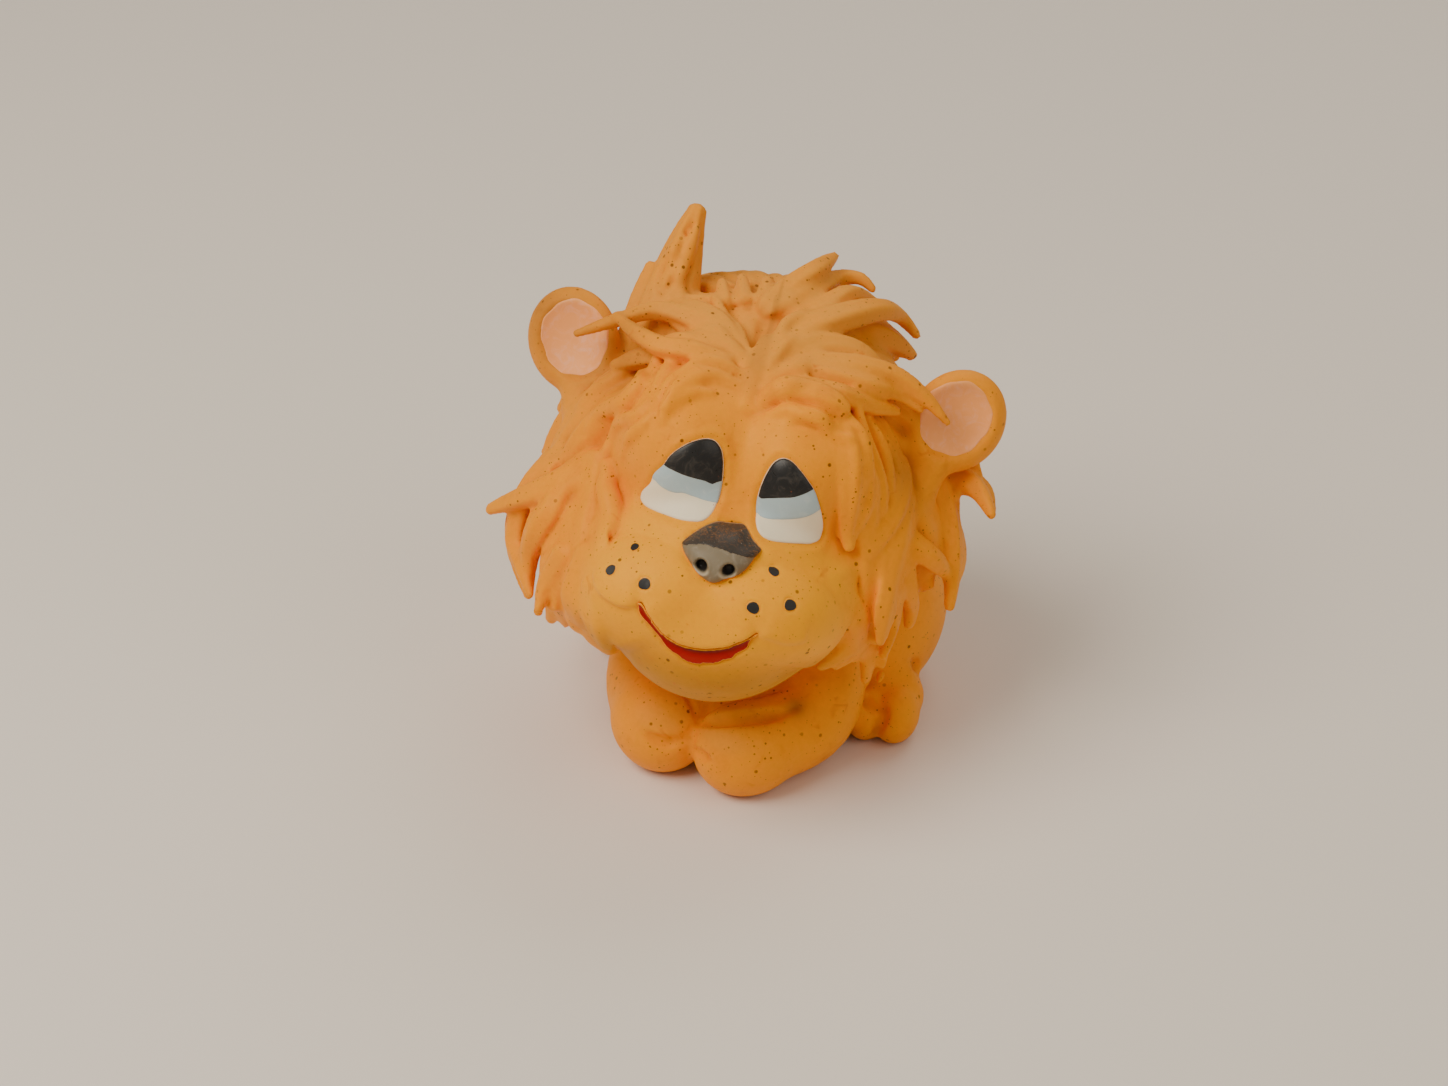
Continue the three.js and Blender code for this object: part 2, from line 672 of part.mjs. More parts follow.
const forePaw = (side, grow) =>
  paw(side, reachOf(side, FORE_PAW_AT, 1), FORE_PAW_HALF, FORE_PAW_TURN, grow);
const hindAt = (side, [x, y, z]) => [side * x + HIND_SHIFT, y, z];
const hindFoot = (side, grow) =>
  paw(side, hindAt(side, HIND_FOOT_AT), HIND_FOOT_HALF, HIND_FOOT_TURN, grow);
const thigh = (side, grow) =>
  solid(ellipsoid(THIGH_HALF.map((h) => h + grow), hindAt(side, THIGH_AT), ROUND_FACETS));

const tailRadius = (t) => THREE.MathUtils.lerp(TAIL_ROOT_RADIUS, TAIL_END_RADIUS, t);
const tail = (grow) => solid(taperedTube(TAIL_PATH, (t) => tailRadius(t) + grow, TAIL_FACETS));
const tuftRadius = (t) => TUFT_RADIUS * (0.55 + 0.45 * Math.sin(Math.PI * t));
const tuft = (grow) => solid(taperedTube(TUFT_PATH, (t) => tuftRadius(t) + grow, TAIL_FACETS));

// Squeaker

const turned = (profile) =>
  new THREE.LatheGeometry(profile.map(([r, z]) => new THREE.Vector2(r, z)), TURNED_FACETS)
    .rotateX(Math.PI / 2)
    .translate(...SQUEAKER_AT);

const flangeTop = FLANGE_RECESS + FLANGE_THICKNESS;
const cupTop = flangeTop + CUP_HEIGHT;
const boreRadius = CUP_RADIUS - CUP_WALL;
const plug = (radius, base, top) => turned([[0, base], [radius, base], [radius, top], [0, top]]);
const squeakerPort = () =>
  join(
    [[FLANGE_RADIUS, flangeTop], [CUP_RADIUS, cupTop]].map(([radius, top]) =>
      solid(plug(radius + CLEARANCE, -CUP_HEIGHT, top + CLEARANCE)),
    ),
  );
const squeakerCup = () =>
  solid(
    turned([
      [AIR_HOLE_RADIUS, FLANGE_RECESS], [FLANGE_RADIUS, FLANGE_RECESS], [FLANGE_RADIUS, flangeTop],
      [CUP_RADIUS, flangeTop], [CUP_RADIUS, cupTop], [boreRadius, cupTop],
      [boreRadius, flangeTop + CUP_WALL], [AIR_HOLE_RADIUS, flangeTop + CUP_WALL],
      [AIR_HOLE_RADIUS, FLANGE_RECESS],
    ]),
  );

const box = (width, length, height, x, y, z) =>
  solid(
    new THREE.BoxGeometry(width, length, height).translate(
      SQUEAKER_AT[0] + x,
      SQUEAKER_AT[1] + y,
      SQUEAKER_AT[2] + z,
    ),
  );

// The holder is a plug in the cup with a slot; the reed lies over the slot, pinned by a wedge.
const holderTop = cupTop - HOLDER_DROP;
const holderRadius = boreRadius - CLEARANCE;
const reedBack = holderRadius - REED_INSET;
const reedMiddle = reedBack - REED_LENGTH / 2;
const reedBase = holderTop + CLEARANCE;
const wedgeBase = reedBase + REED_THICKNESS + CLEARANCE;
const reedHolder = () =>
  cut(
    solid(plug(holderRadius, holderTop - HOLDER_THICKNESS, holderTop)),
    box(...SLOT, HOLDER_THICKNESS * 3, 0, reedMiddle - SLOT_FORWARD, holderTop),
  );
const reed = () =>
  box(REED_WIDTH, REED_LENGTH, REED_THICKNESS, 0, reedMiddle, reedBase + REED_THICKNESS / 2);
const reedWedge = () => {
  const top = wedgeBase + WEDGE_THICKNESS;
  const front = reedBack - REED_ROOT - CUP_HEIGHT;
  const gap = [REED_WIDTH + 2 * CLEARANCE, REED_LENGTH, 2 * (wedgeBase - reedBase)];
  return cut(
    solid(plug(holderRadius, reedBase, top)),
    box(2 * CUP_HEIGHT, 2 * CUP_HEIGHT, 2 * CUP_HEIGHT, 0, front, wedgeBase),
    box(...gap, 0, reedMiddle + CLEARANCE, reedBase),
  );
};

// Assembly

const lion = new THREE.Group();
const head = new THREE.Group();
head.applyMatrix4(headFrame);
lion.add(head);

function place(group, name, body, look) {
  const mesh = new THREE.Mesh(geometryOf(whole(body)), look);
  mesh.name = name;
  group.add(mesh);
  return mesh;
}

const SIDES = [["left", 1], ["right", -1]];

// Head with its filling, the neck opening and the pockets of the painted features
const neckTool = () =>
  solid(
    new THREE.CylinderGeometry(NECK_RADIUS, NECK_RADIUS, NECK_LENGTH, TURNED_FACETS)
      .rotateX(Math.PI / 2)
      .translate(HEAD_AT[0], HEAD_AT[1] + NECK_BACK, HEAD_AT[2] - NECK_LENGTH / 2)
      .applyMatrix4(intoHead),
  );
const mouthCurve = new THREE.CatmullRomCurve3(MOUTH_LINE.map(direction));
const mouthSwell = (t) => MOUTH_CORNER + (1 - MOUTH_CORNER) * Math.sin(Math.PI * t);
const mouthShape = (grow) =>
  solid(
    strip(
      (t, height) => {
        const u = mouthCurve.getPoint(t).normalize();
        return u.multiplyScalar(headRadius(u) + height);
      },
      {
        heightAt: () => 0,
        halfAt: (t) => MOUTH_HALF_WIDTH * mouthSwell(t),
        thickAt: () => MOUTH_DEPTH,
        steps: MOUTH_FACETS[0],
        sides: MOUTH_FACETS[1],
        grow,
      },
    ),
  );
const nostrils = () =>
  join(
    [1, -1].map((side) => {
      const [azimuth, elevation] = NOSTRIL_AT;
      const at = onHead([side * azimuth, elevation], NOSE_BULGE * NOSTRIL_HEIGHT);
      const half = [NOSTRIL_RADIUS, NOSTRIL_RADIUS * 1.4, NOSTRIL_RADIUS];
      return solid(ellipsoid(half, at.toArray(), SMALL_FACETS));
    }),
  );

const spots = [
  ...LEFT_SPOTS.map((at, i) => ["whisker_spot_left_" + (i + 1), at]),
  ...RIGHT_SPOTS.map((at, i) => ["whisker_spot_right_" + (i + 1), at]),
];
const pockets = join([
  ...[1, -1].map((side) => pocket(onHeadSide(side, EYE_OUTLINE), EYE_WHITE_DEPTH)),
  pocket(NOSE_OUTLINE, NOSE_DEPTH),
  mouthShape(CLEARANCE),
  ...spots.map(([, at]) => spot(at, SPOT_DEPTH + CLEARANCE, POCKET_TOP, CLEARANCE)),
]);
const skull = cut(solid(headShape(0)), solid(headShape(-SKIN)), neckTool(), pockets);
place(head, "head_skin", skull, ORANGE_LATEX);
place(head, "head_filling", solid(headShape(-SKIN - CLEARANCE)), FIBRE);

for (const [name, side] of SIDES) {
  const [eye, iris, pupil] = [EYE_OUTLINE, IRIS_OUTLINE, PUPIL_OUTLINE].map((outline) =>
    onHeadSide(side, outline),
  );
  const white = cut(inlay(eye, EYE_WHITE_DEPTH, EYE_BULGE), pocket(iris, IRIS_DEPTH));
  const band = cut(inlay(iris, IRIS_DEPTH, EYE_BULGE), pocket(pupil, PUPIL_DEPTH));
  place(head, "eye_white_" + name, white, EYE_WHITE);
  place(head, "eye_iris_" + name, band, EYE_BLUE);
  place(head, "eye_pupil_" + name, inlay(pupil, PUPIL_DEPTH, EYE_BULGE), BLACK_PAINT);
}
const wholeNose = inlay(NOSE_OUTLINE, NOSE_DEPTH, NOSE_BULGE);
const noseTop = (grow) => pocket(NOSE_TOP_OUTLINE, -NOSE_TOP_BASE, grow);
place(head, "nose", cut(wholeNose, noseTop(CLEARANCE), nostrils()), NOSE_GREY);
place(head, "nose_top", wholeNose.intersect(noseTop(0)), BLACK_PAINT);
place(head, "mouth", mouthShape(0), MOUTH_RED);
for (const [name, at] of spots) {
  place(head, name, spot(at, SPOT_DEPTH, SPOT_BULGE, 0), BLACK_PAINT);
}

const headGrown = solid(headShape(CLEARANCE));
for (const [name, side] of SIDES) {
  const frame = earFrame(side);
  const hollow = solid(earHollow(0, EAR_DISH).applyMatrix4(frame));
  place(head, "ear_" + name, cut(ear(side, 0), headGrown, hollow), ORANGE_LATEX);
  const floor = solid(earHollow(-CLEARANCE, EAR_DISH).applyMatrix4(frame));
  const front = earHollow(CLEARANCE, EAR_DISH).translate(0, -EAR_LINING, 0).applyMatrix4(frame);
  const lining = cut(floor.intersect(ear(side, 0)), solid(front), headGrown);
  place(head, "ear_lining_" + name, lining, EAR_PINK);
}

// What the mane has to clear: the limbs and the torso, also while the head is pushed down
const limbs = join(
  SIDES.flatMap(([, side]) => [foreleg(side, CLEARANCE), thigh(side, CLEARANCE)]),
);
const inHeadFrame = (body, lift) =>
  solid(geometryOf(body).translate(0, 0, lift).applyMatrix4(intoHead));
const keepClear = join([
  ...[0, SQUEEZE / 2, SQUEEZE].map((lift) => inHeadFrame(limbs, lift)),
  inHeadFrame(torso(CLEARANCE), 0),
  headGrown,
  ...SIDES.map(([, side]) => ear(side, CLEARANCE)),
]);
let taken = keepClear;
for (const [name, locks] of Object.entries(MANE)) {
  place(head, name, cut(groupOfLocks(locks, 0), taken), MANE_LATEX);
  taken = taken.add(groupOfLocks(locks, CLEARANCE));
}

// Torso with its filling and the hole for the squeaker
const headInPart = solid(headShape(CLEARANCE).applyMatrix4(headFrame));
const port = squeakerPort();
const hollow = cut(torso(-SKIN), below(SKIN));
place(lion, "torso_skin", cut(torso(0), hollow, headInPart, below(0), port), ORANGE_LATEX);
const filling = cut(torso(-SKIN - CLEARANCE), headInPart, below(SKIN + CLEARANCE), port);
place(lion, "torso_filling", filling, FIBRE);

// Limbs, each cut by what it is joined to, and clear of the head when it is pushed down
const headPath = join(
  [0, SQUEEZE / 2, SQUEEZE].map((drop) =>
    solid(headShape(CLEARANCE).applyMatrix4(headFrame).translate(0, 0, -drop)),
  ),
);
const ground = below(0);
const torsoGrown = torso(CLEARANCE);
for (const [name, side] of SIDES) {
  const other = -side;
  const legGrown = foreleg(side, CLEARANCE);
  const otherLimbs = [foreleg(other, CLEARANCE), ...(side < 0 ? [forePaw(other, CLEARANCE)] : [])];
  const leg = cut(foreleg(side, 0), torsoGrown, headPath, ground);
  const foot = cut(forePaw(side, 0), legGrown, torsoGrown, ...otherLimbs, ground);
  const haunch = cut(thigh(side, 0), torsoGrown, legGrown, headPath, ground);
  const hind = cut(hindFoot(side, 0), thigh(side, CLEARANCE), legGrown, torsoGrown, ground);
  place(lion, "foreleg_" + name, leg, ORANGE_LATEX);
  place(lion, "fore_paw_" + name, foot, ORANGE_LATEX);
  place(lion, "thigh_" + name, haunch, ORANGE_LATEX);
  place(lion, "hind_foot_" + name, hind, ORANGE_LATEX);
}
const haunchGrown = thigh(-1, CLEARANCE);
const tuftClears = [tail(CLEARANCE), haunchGrown, hindFoot(-1, CLEARANCE), torsoGrown, ground];
place(lion, "tail", cut(tail(0), torsoGrown, haunchGrown, headPath, ground), ORANGE_LATEX);
place(lion, "tail_tuft", cut(tuft(0), ...tuftClears), MANE_LATEX);

place(lion, "squeaker_cup", squeakerCup(), WHITE_PLASTIC);
place(lion, "reed_holder", reedHolder(), WHITE_PLASTIC);
place(lion, "reed", reed(), WHITE_PLASTIC);
place(lion, "reed_wedge", reedWedge(), WHITE_PLASTIC);

export default lion;
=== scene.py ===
"""A latex squeaky dog toy, a crouched lion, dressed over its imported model.

Lengths are in millimetres, and MM turns them into the scene's metres. A place on the head is an
azimuth and an elevation in degrees: 0, 0 is straight out of the face, and positive azimuths are on
the lion's left side.
"""

import math

import bpy
import numpy as np
import openvdb
from mathutils import Matrix, Vector
from mathutils.bvhtree import BVHTree


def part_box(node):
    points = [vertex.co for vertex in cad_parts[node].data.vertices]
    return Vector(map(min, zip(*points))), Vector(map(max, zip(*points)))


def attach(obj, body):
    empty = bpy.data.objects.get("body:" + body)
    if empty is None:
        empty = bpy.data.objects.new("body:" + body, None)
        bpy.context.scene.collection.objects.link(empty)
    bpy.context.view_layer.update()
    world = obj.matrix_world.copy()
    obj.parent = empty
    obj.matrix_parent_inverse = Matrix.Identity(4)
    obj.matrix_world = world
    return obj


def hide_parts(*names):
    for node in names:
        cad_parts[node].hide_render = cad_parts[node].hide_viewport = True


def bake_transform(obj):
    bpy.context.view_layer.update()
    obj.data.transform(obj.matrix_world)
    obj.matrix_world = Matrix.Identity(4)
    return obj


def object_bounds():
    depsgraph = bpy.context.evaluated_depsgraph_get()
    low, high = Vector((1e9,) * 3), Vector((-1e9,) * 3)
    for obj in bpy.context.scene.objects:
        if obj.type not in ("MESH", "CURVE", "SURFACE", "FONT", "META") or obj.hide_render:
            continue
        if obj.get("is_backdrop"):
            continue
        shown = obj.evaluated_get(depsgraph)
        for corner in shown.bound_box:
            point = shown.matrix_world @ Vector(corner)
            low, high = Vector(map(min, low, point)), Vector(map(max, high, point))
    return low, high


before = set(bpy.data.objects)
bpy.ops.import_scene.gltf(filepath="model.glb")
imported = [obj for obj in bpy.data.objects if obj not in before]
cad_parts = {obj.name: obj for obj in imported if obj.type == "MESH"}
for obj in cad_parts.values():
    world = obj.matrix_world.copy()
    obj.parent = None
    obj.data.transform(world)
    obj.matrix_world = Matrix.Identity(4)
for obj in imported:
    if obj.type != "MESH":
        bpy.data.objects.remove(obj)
CAD_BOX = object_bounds()

bl_info = {
    "name": "Latex lion dog toy",
    "version": (1, 0, 0),
    "blender": (4, 5, 0),
    "location": "View3D > Sidebar > Lion",
    "description": "Sculpts and paints a squeaky latex lion over its packed model",
    "category": "Object",
}

MM = 0.001
SIDES = (("left", 1), ("right", -1))

# Sizes of the forms, as in the part


def number(name, description, default, **kind):
    return bpy.props.FloatProperty(name=name, description=description, default=default, **kind)


def numbers(name, description, default, **kind):
    return bpy.props.FloatVectorProperty(
        name=name, description=description, default=default, **kind
    )


def length(name, description, default):
    return number(name, description, default * MM, subtype="DISTANCE", unit="LENGTH")


def lengths(name, description, default):
    default = [value * MM for value in default]
    return numbers(name, description, default, subtype="TRANSLATION", unit="LENGTH")


def angle(name, description, default):
    return number(name, description, math.radians(default), subtype="ANGLE", unit="ROTATION")


def colour(name, description, default):
    return numbers(name, description, default, subtype="COLOR", min=0, max=1)


def in_mm(value):
    """A length or a place of the panel in millimetres."""
    return np.array(value, float) / MM


class LionHeadSizes(bpy.types.PropertyGroup):
    """Where the head is, and the rounded forms that it is blended from."""

    at: lengths("Middle", "Middle of the head, from the middle of the belly", (-2, -5, 51))
    yaw: angle("Turn", "Turn of the head to the lion's left", 16)
    pitch: angle("Nod", "How far the head looks down; it looks up when negative", -22)
    roll: angle("Lean", "Lean of the head", 9)
    skull: lengths("Skull", "Half sizes of the skull", (32, 31, 31))
    mane_at: lengths("Mane middle", "Middle of the mane's mass", (0, 8, 5))
    mane: lengths("Mane", "Half sizes of the mane's mass", (33, 29, 33))
    muzzle_at: lengths("Muzzle middle", "Middle of the muzzle", (0, -17, -14))
    muzzle: lengths("Muzzle", "Half sizes of the muzzle", (26.5, 24, 18.5))
    chin_at: lengths("Chin middle", "Middle of the chin", (0, -21, -23))
    chin: lengths("Chin", "Half sizes of the chin", (16, 17, 13))
    lip_at: lengths("Lip middle", "Middle of the left half of the upper lip", (9.5, -29, -14))
    lip: lengths("Lip", "Half sizes of half the upper lip", (12, 12, 9))
    brow_at: lengths("Brow middle", "Middle of the left brow", (10.5, -20, 11))
    brow: lengths("Brow", "Half sizes of a brow", (12, 12, 13))
    blend: number("Blend", "The higher, the sharper the line where two forms meet", 14)
    eye_bulge: length("Eye bulge", "How far an eye stands out", 0.9)
    nose_bulge: length("Nose bulge", "How far the nose stands out", 3.2)
    nostril: length("Nostril", "Radius of a nostril", 1.15)
    comb: length("Fur depth", "Depth of the grooves between the mane's strands", 0.8)
    ear: lengths("Ear", "Half sizes of an ear", (9.2, 4.3, 10.2))
    ear_out: length("Ear distance", "From the head's surface to an ear's middle", 8.5)
    ear_dish: length("Ear hollow", "Depth of an ear's hollow", 3.4)
    ear_splay: angle("Ear splay", "How far an ear opens outwards", 14)
    ear_lean: angle("Ear lean", "How far an ear's top leans outwards", 24)
    cell: length("Cell", "Size of the cells that the head is shaped in", 0.5)


class LionBodySizes(bpy.types.PropertyGroup):
    """The rounded forms of the torso and the limbs."""

    torso_at: lengths("Torso middle", "Middle of the torso", (0, 9, 19))
    belly: lengths("Belly", "Half sizes of the belly", (22, 27, 24))
    chest_at: lengths("Chest middle", "Middle of the chest, from the torso's", (0, -13, 1))
    chest: lengths("Chest", "Half sizes of the chest", (17, 15, 20))
    rump_at: lengths("Rump middle", "Middle of the rump, from the torso's", (1, 14, -1))
    rump: lengths("Rump", "Half sizes of the rump", (21, 21, 21))
    blend: number("Blend", "The higher, the sharper the line where two forms meet", 8)
    breast_at: lengths("Breast middle", "Middle of the breast between the forelegs", (-1, -14, 9.5))
    breast: lengths("Breast", "Half sizes of the breast", (15, 13, 10))
    shoulder: lengths("Shoulder", "Middle of the left shoulder", (13, -2, 24))
    elbow: lengths("Elbow", "Middle of the left elbow", (15.5, -15, 10.5))
    wrist: lengths("Wrist", "Middle of the left wrist", (9.5, -26.5, 8.8))
    leg: lengths("Foreleg", "Radius at the shoulder, the elbow and the wrist", (9.5, 9.8, 8.8))
    paw_at: lengths("Paw middle", "Middle of the left fore paw", (6.8, -29.2, 8.2))
    paw: lengths("Paw", "Half sizes of a fore paw", (8.8, 8.8, 8.8))
    right_back: length("Right paw back", "How much less the right foreleg reaches forward", 1.5)
    right_out: length("Right paw out", "How much further out the right paw lies", 2.4)
    thigh_at: lengths("Thigh middle", "Middle of the left thigh", (18, 14, 17))
    thigh: lengths("Thigh", "Half sizes of a thigh", (12.5, 17.5, 17.5))
    foot_at: lengths("Hind foot middle", "Middle of the left hind foot", (24, 0, 5.4))
    foot: lengths("Hind foot", "Half sizes of a hind foot", (7.5, 9.6, 6.2))
    foot_turn: angle("Hind foot turn", "How far a hind foot points outwards", 10)
    hind_shift: length("Hind shift", "How far the crouch leans to the left side", 2)
    tail: lengths("Tail", "Radius of the tail at its root, at its end and in its tuft", (6, 4, 6))
    cell: length("Cell", "Size of the cells that the body is shaped in", 0.55)


class LionColours(bpy.types.PropertyGroup):
    """Colours of the latex and of the paints on it."""

    orange: colour("Latex", "Natural latex, yellowish orange", (0.94, 0.315, 0.0))
    # Also laid thinly on the body's upward faces as painted light
    pale: colour("Pale latex", "Latex of the muzzle, where it is palest", (1.0, 0.40, 0.0))
    # Deeper orange: random patches in the latex, and painted shade in creases and recesses
    deep: colour("Deep latex", "Latex in creases and recesses", (0.68, 0.175, 0.0))
    # Dull yellow of the chin: partly the latex's own colour, partly painted shade on the head's
    # underside
    ochre: colour("Chin", "Dull yellow of the chin", (0.60, 0.24, 0.0))
    # Tan airbrush of the mane; on the breast under the chin the same tan is painted shade
    tan: colour("Mane coat", "Airbrushed tan on the mane", (0.78, 0.31, 0.03))
    # Brown painted shade in dimples, creases and grooves, near the ear roots and where the mane
    # parts
    shade_umber: colour("Smudge", "Brown airbrush in dimples and grooves", (0.26, 0.09, 0.025))
    rust: colour("Rust", "Reddish stains in the latex", (0.62, 0.12, 0.004))
    speck: colour("Speck", "Small dark specks in the latex", (0.11, 0.03, 0.008))
    pink: colour("Ear pink", "Paint inside the ears", (0.96, 0.38, 0.11))
    white: colour("Eye white", "Off-white paint", (0.94, 0.80, 0.56))
    blue: colour("Eye blue", "Pale grey-blue paint", (0.44, 0.55, 0.57))
    black: colour("Black", "Black paint", (0.022, 0.021, 0.020))
    grey: colour("Nose grey", "Grey paint of the nose", (0.22, 0.175, 0.11))
    red: colour("Mouth red", "Red paint of the mouth", (0.40, 0.003, 0.0))
    fibre: colour("Fibre", "Polyester fibre", (0.82, 0.81, 0.77))
    plastic: colour("Squeaker", "White moulded plastic", (0.80, 0.79, 0.74))
    floor: colour("Floor", "Pale floor", (0.82, 0.75, 0.66))


class LionStage(bpy.types.PropertyGroup):
    """The camera and the lights."""

    azimuth: angle("Camera azimuth", "Camera's place round the lion, 0 being straight in front", 22)
    elevation: angle("Camera elevation", "Camera's height over the ground, as an angle", 33)
    distance: length("Camera distance", "From the lion to the camera", 700)
    focal: number("Focal length", "In photograph pixels", 3500)
    origin_x: number("Origin across", "Pixel column of the belly's middle in the photograph", 761)
    origin_y: number("Origin down", "Pixel row of the belly's middle in the photograph", 694)
    key: number("Key light", "Power of the main softbox, in watts", 7.4)
    fill: number("Fill light", "Power of the fill softbox, in watts", 2.0)
    rim: number("Back light", "Power of the softbox behind, in watts", 2.2)
    sky: number("Surroundings", "Strength of the even light all round", 0.26)
    tint: colour("Tint of the light", "Colour of all the lights", (1.0, 0.93, 0.83))


# Outlines and lines on the head, as azimuth and elevation. Outlines run clockwise as seen.

EYES = {
    "right": {
        "edge": [
            (-11.7, 23), (-9.1, 23.2), (-6.7, 21.5), (-5.3, 18.4), (-4.5, 14.5), (-4.1, 10.3),
            (-4, 6.5), (-4.3, 3.6), (-5.2, 0.3), (-6.9, -1.6), (-9.7, -2.4), (-13.6, -2.9),
            (-18.5, -2.9), (-24.1, -2.8), (-28.4, -2.3), (-30.9, -0.8), (-30.8, 1.4), (-27.4, 5.3),
            (-26.1, 8.3), (-22.9, 12), (-21.1, 15.2), (-18.6, 18.1), (-15.4, 20.9),
        ],
        "iris": [
            (-27.3, 7.1), (-25.2, 6.3), (-22.8, 5.1), (-19.9, 4.3), (-17.6, 4.3), (-15.4, 4.8),
            (-12.2, 4.5), (-8.5, 4.1), (-3.9, 4.1),
        ],
        "pupil": [
            (-23.4, 12.2), (-21.7, 11.4), (-19.2, 10.9), (-16, 10.4), (-12.6, 10.2), (-9.7, 10.2),
            (-7, 9.8), (-5.8, 10.6), (-3.6, 11.9),
        ],
    },
    "left": {
        "edge": [
            (13.6, 21.8), (16.2, 21.2), (19.5, 18.7), (22.4, 16), (25.1, 13.3), (27.5, 9.9),
            (30.1, 6.3), (32.4, 1.7), (31.8, -1.8), (28.6, -3.1), (23.9, -3.3), (19.6, -3.4),
            (15.1, -3.3), (12, -2.7), (10.1, -1.2), (9.1, 1.1), (8.8, 4), (8.4, 7.6), (8.6, 12.4),
            (9.6, 17), (11.3, 20.5),
        ],
        "iris": [
            (8.3, 4.2), (10.4, 2.8), (12.7, 2.5), (16.2, 2.9), (20, 3.7), (23.3, 4.7), (26.1, 6.2),
            (29, 8.6),
        ],
        "pupil": [
            (8.1, 9.5), (9.4, 8.5), (11.9, 9), (15.4, 9.8), (18.5, 10.5), (21.6, 12), (25, 14.2),
        ],
    },
}
NOSE = [
    (-10.5, -7.6), (-9.5, -6.1), (-8.1, -4.6), (-6.3, -2.9), (-4.2, -1.5), (-2.3, -0.7),
    (0.7, -0.5), (3.3, -0.2), (5.7, -0.2), (7.2, -1.4), (8.8, -3.3), (10.5, -4.5), (11.7, -5.5),
    (10.4, -7.1), (9.6, -8.4), (7.9, -10.6), (6, -11.9), (3.6, -12.9), (1.4, -14.2), (-0.4, -14.4),
    (-2.7, -13.7), (-4.9, -12.4), (-7.1, -11), (-9.3, -9.3),
]
NOSE_LINE = [
    (-10.8, -7.9), (-9.8, -7.8), (-6.9, -6.6), (-5, -6), (-3.1, -5.7), (-0.8, -5.7), (2.2, -5.9),
    (3.7, -6.2), (5.6, -6.4), (7.5, -6.8), (8.8, -7.2), (10.9, -7.4),
]
NOSTRILS = [(-3.3, -10.6), (3.6, -10.3)]
MOUTH_TOP = [
    (-16.3, -20.8), (-15.2, -21.1), (-13.7, -22.5), (-11.7, -24.9), (-9.2, -27.3), (-6.2, -28.8),
    (-2.9, -29.4), (0.9, -29.2), (4.4, -28.4), (7.4, -27.1), (10.1, -25.1), (12.4, -23.2),
    (13.7, -22.2),
]
MOUTH_LOW = [
    (-16.3, -20.8), (-15.7, -23.1), (-13.2, -25.6), (-10.6, -28.2), (-8.3, -30.5), (-6.3, -31.6),
    (-4.9, -32), (-3.3, -32.9), (-1.3, -33.2), (2, -32.7), (5.6, -31.8), (6.8, -30.9),
    (8.9, -29.8), (9.6, -28.9), (11.5, -27), (12.1, -26.2), (12.2, -25), (12.5, -24.1),
    (13.7, -22.2),
]

# Each whisker spot's place and its radius in millimetres

SPOTS = {
    "left": [((15.6, -9.5), 1.15), ((11.2, -16.7), 1.24), ((20.1, -14.9), 1.24)],
    "right": [((-22.3, -10.8), 1.0), ((-25.2, -15.8), 1.05), ((-15.6, -16.5), 1.24)],
}

# Folds: the line, how high its left side stands as one walks along it, and how far that side
# reaches

FOLDS = [
    ([(-38, -7), (-43, -10.5), (-46, -14), (-44, -18), (-38, -21), (-33, -24), (-29.5, -29),
     (-26.5, -34), (-22, -39)], 2.1, 8),
    ([(38, -40), (42, -32), (45, -24), (47, -16), (48, -10), (47, -5)], 1.3, 11),
    ([(-31, -17.5), (-27.2, -20.8), (-24, -22), (-20, -22.4), (-16.1, -21.3)], 1, 4),
    ([(13.7, -22.4), (17, -23), (22, -23.8), (27, -23)], 0.5, 4),
    ([(12, 31.5), (17, 33.3), (22, 33.3), (27, 32.5), (32.5, 31), (36.5, 27), (39, 22), (42.5, 15),
     (45, 7)], 0.9, 4),
    ([(-69, 11), (-65, 16.8), (-59.6, 21.7), (-52, 24), (-45.4, 25.2), (-42.8, 29), (-44.6, 34)],
     1, 3.5),
    ([(-62, 4), (-60.5, 0.5), (-57, -0.8), (-53.6, 1), (-52, 5)], 0.8, 3.5),
    ([(61.5, 20), (60.5, 12), (58.5, 3), (56, -4), (57.3, -9)], 0.8, 4),
]

# Rolls laid over the brow, the temples, the side of the muzzle and the top of the mane: the line
# of places and the radius

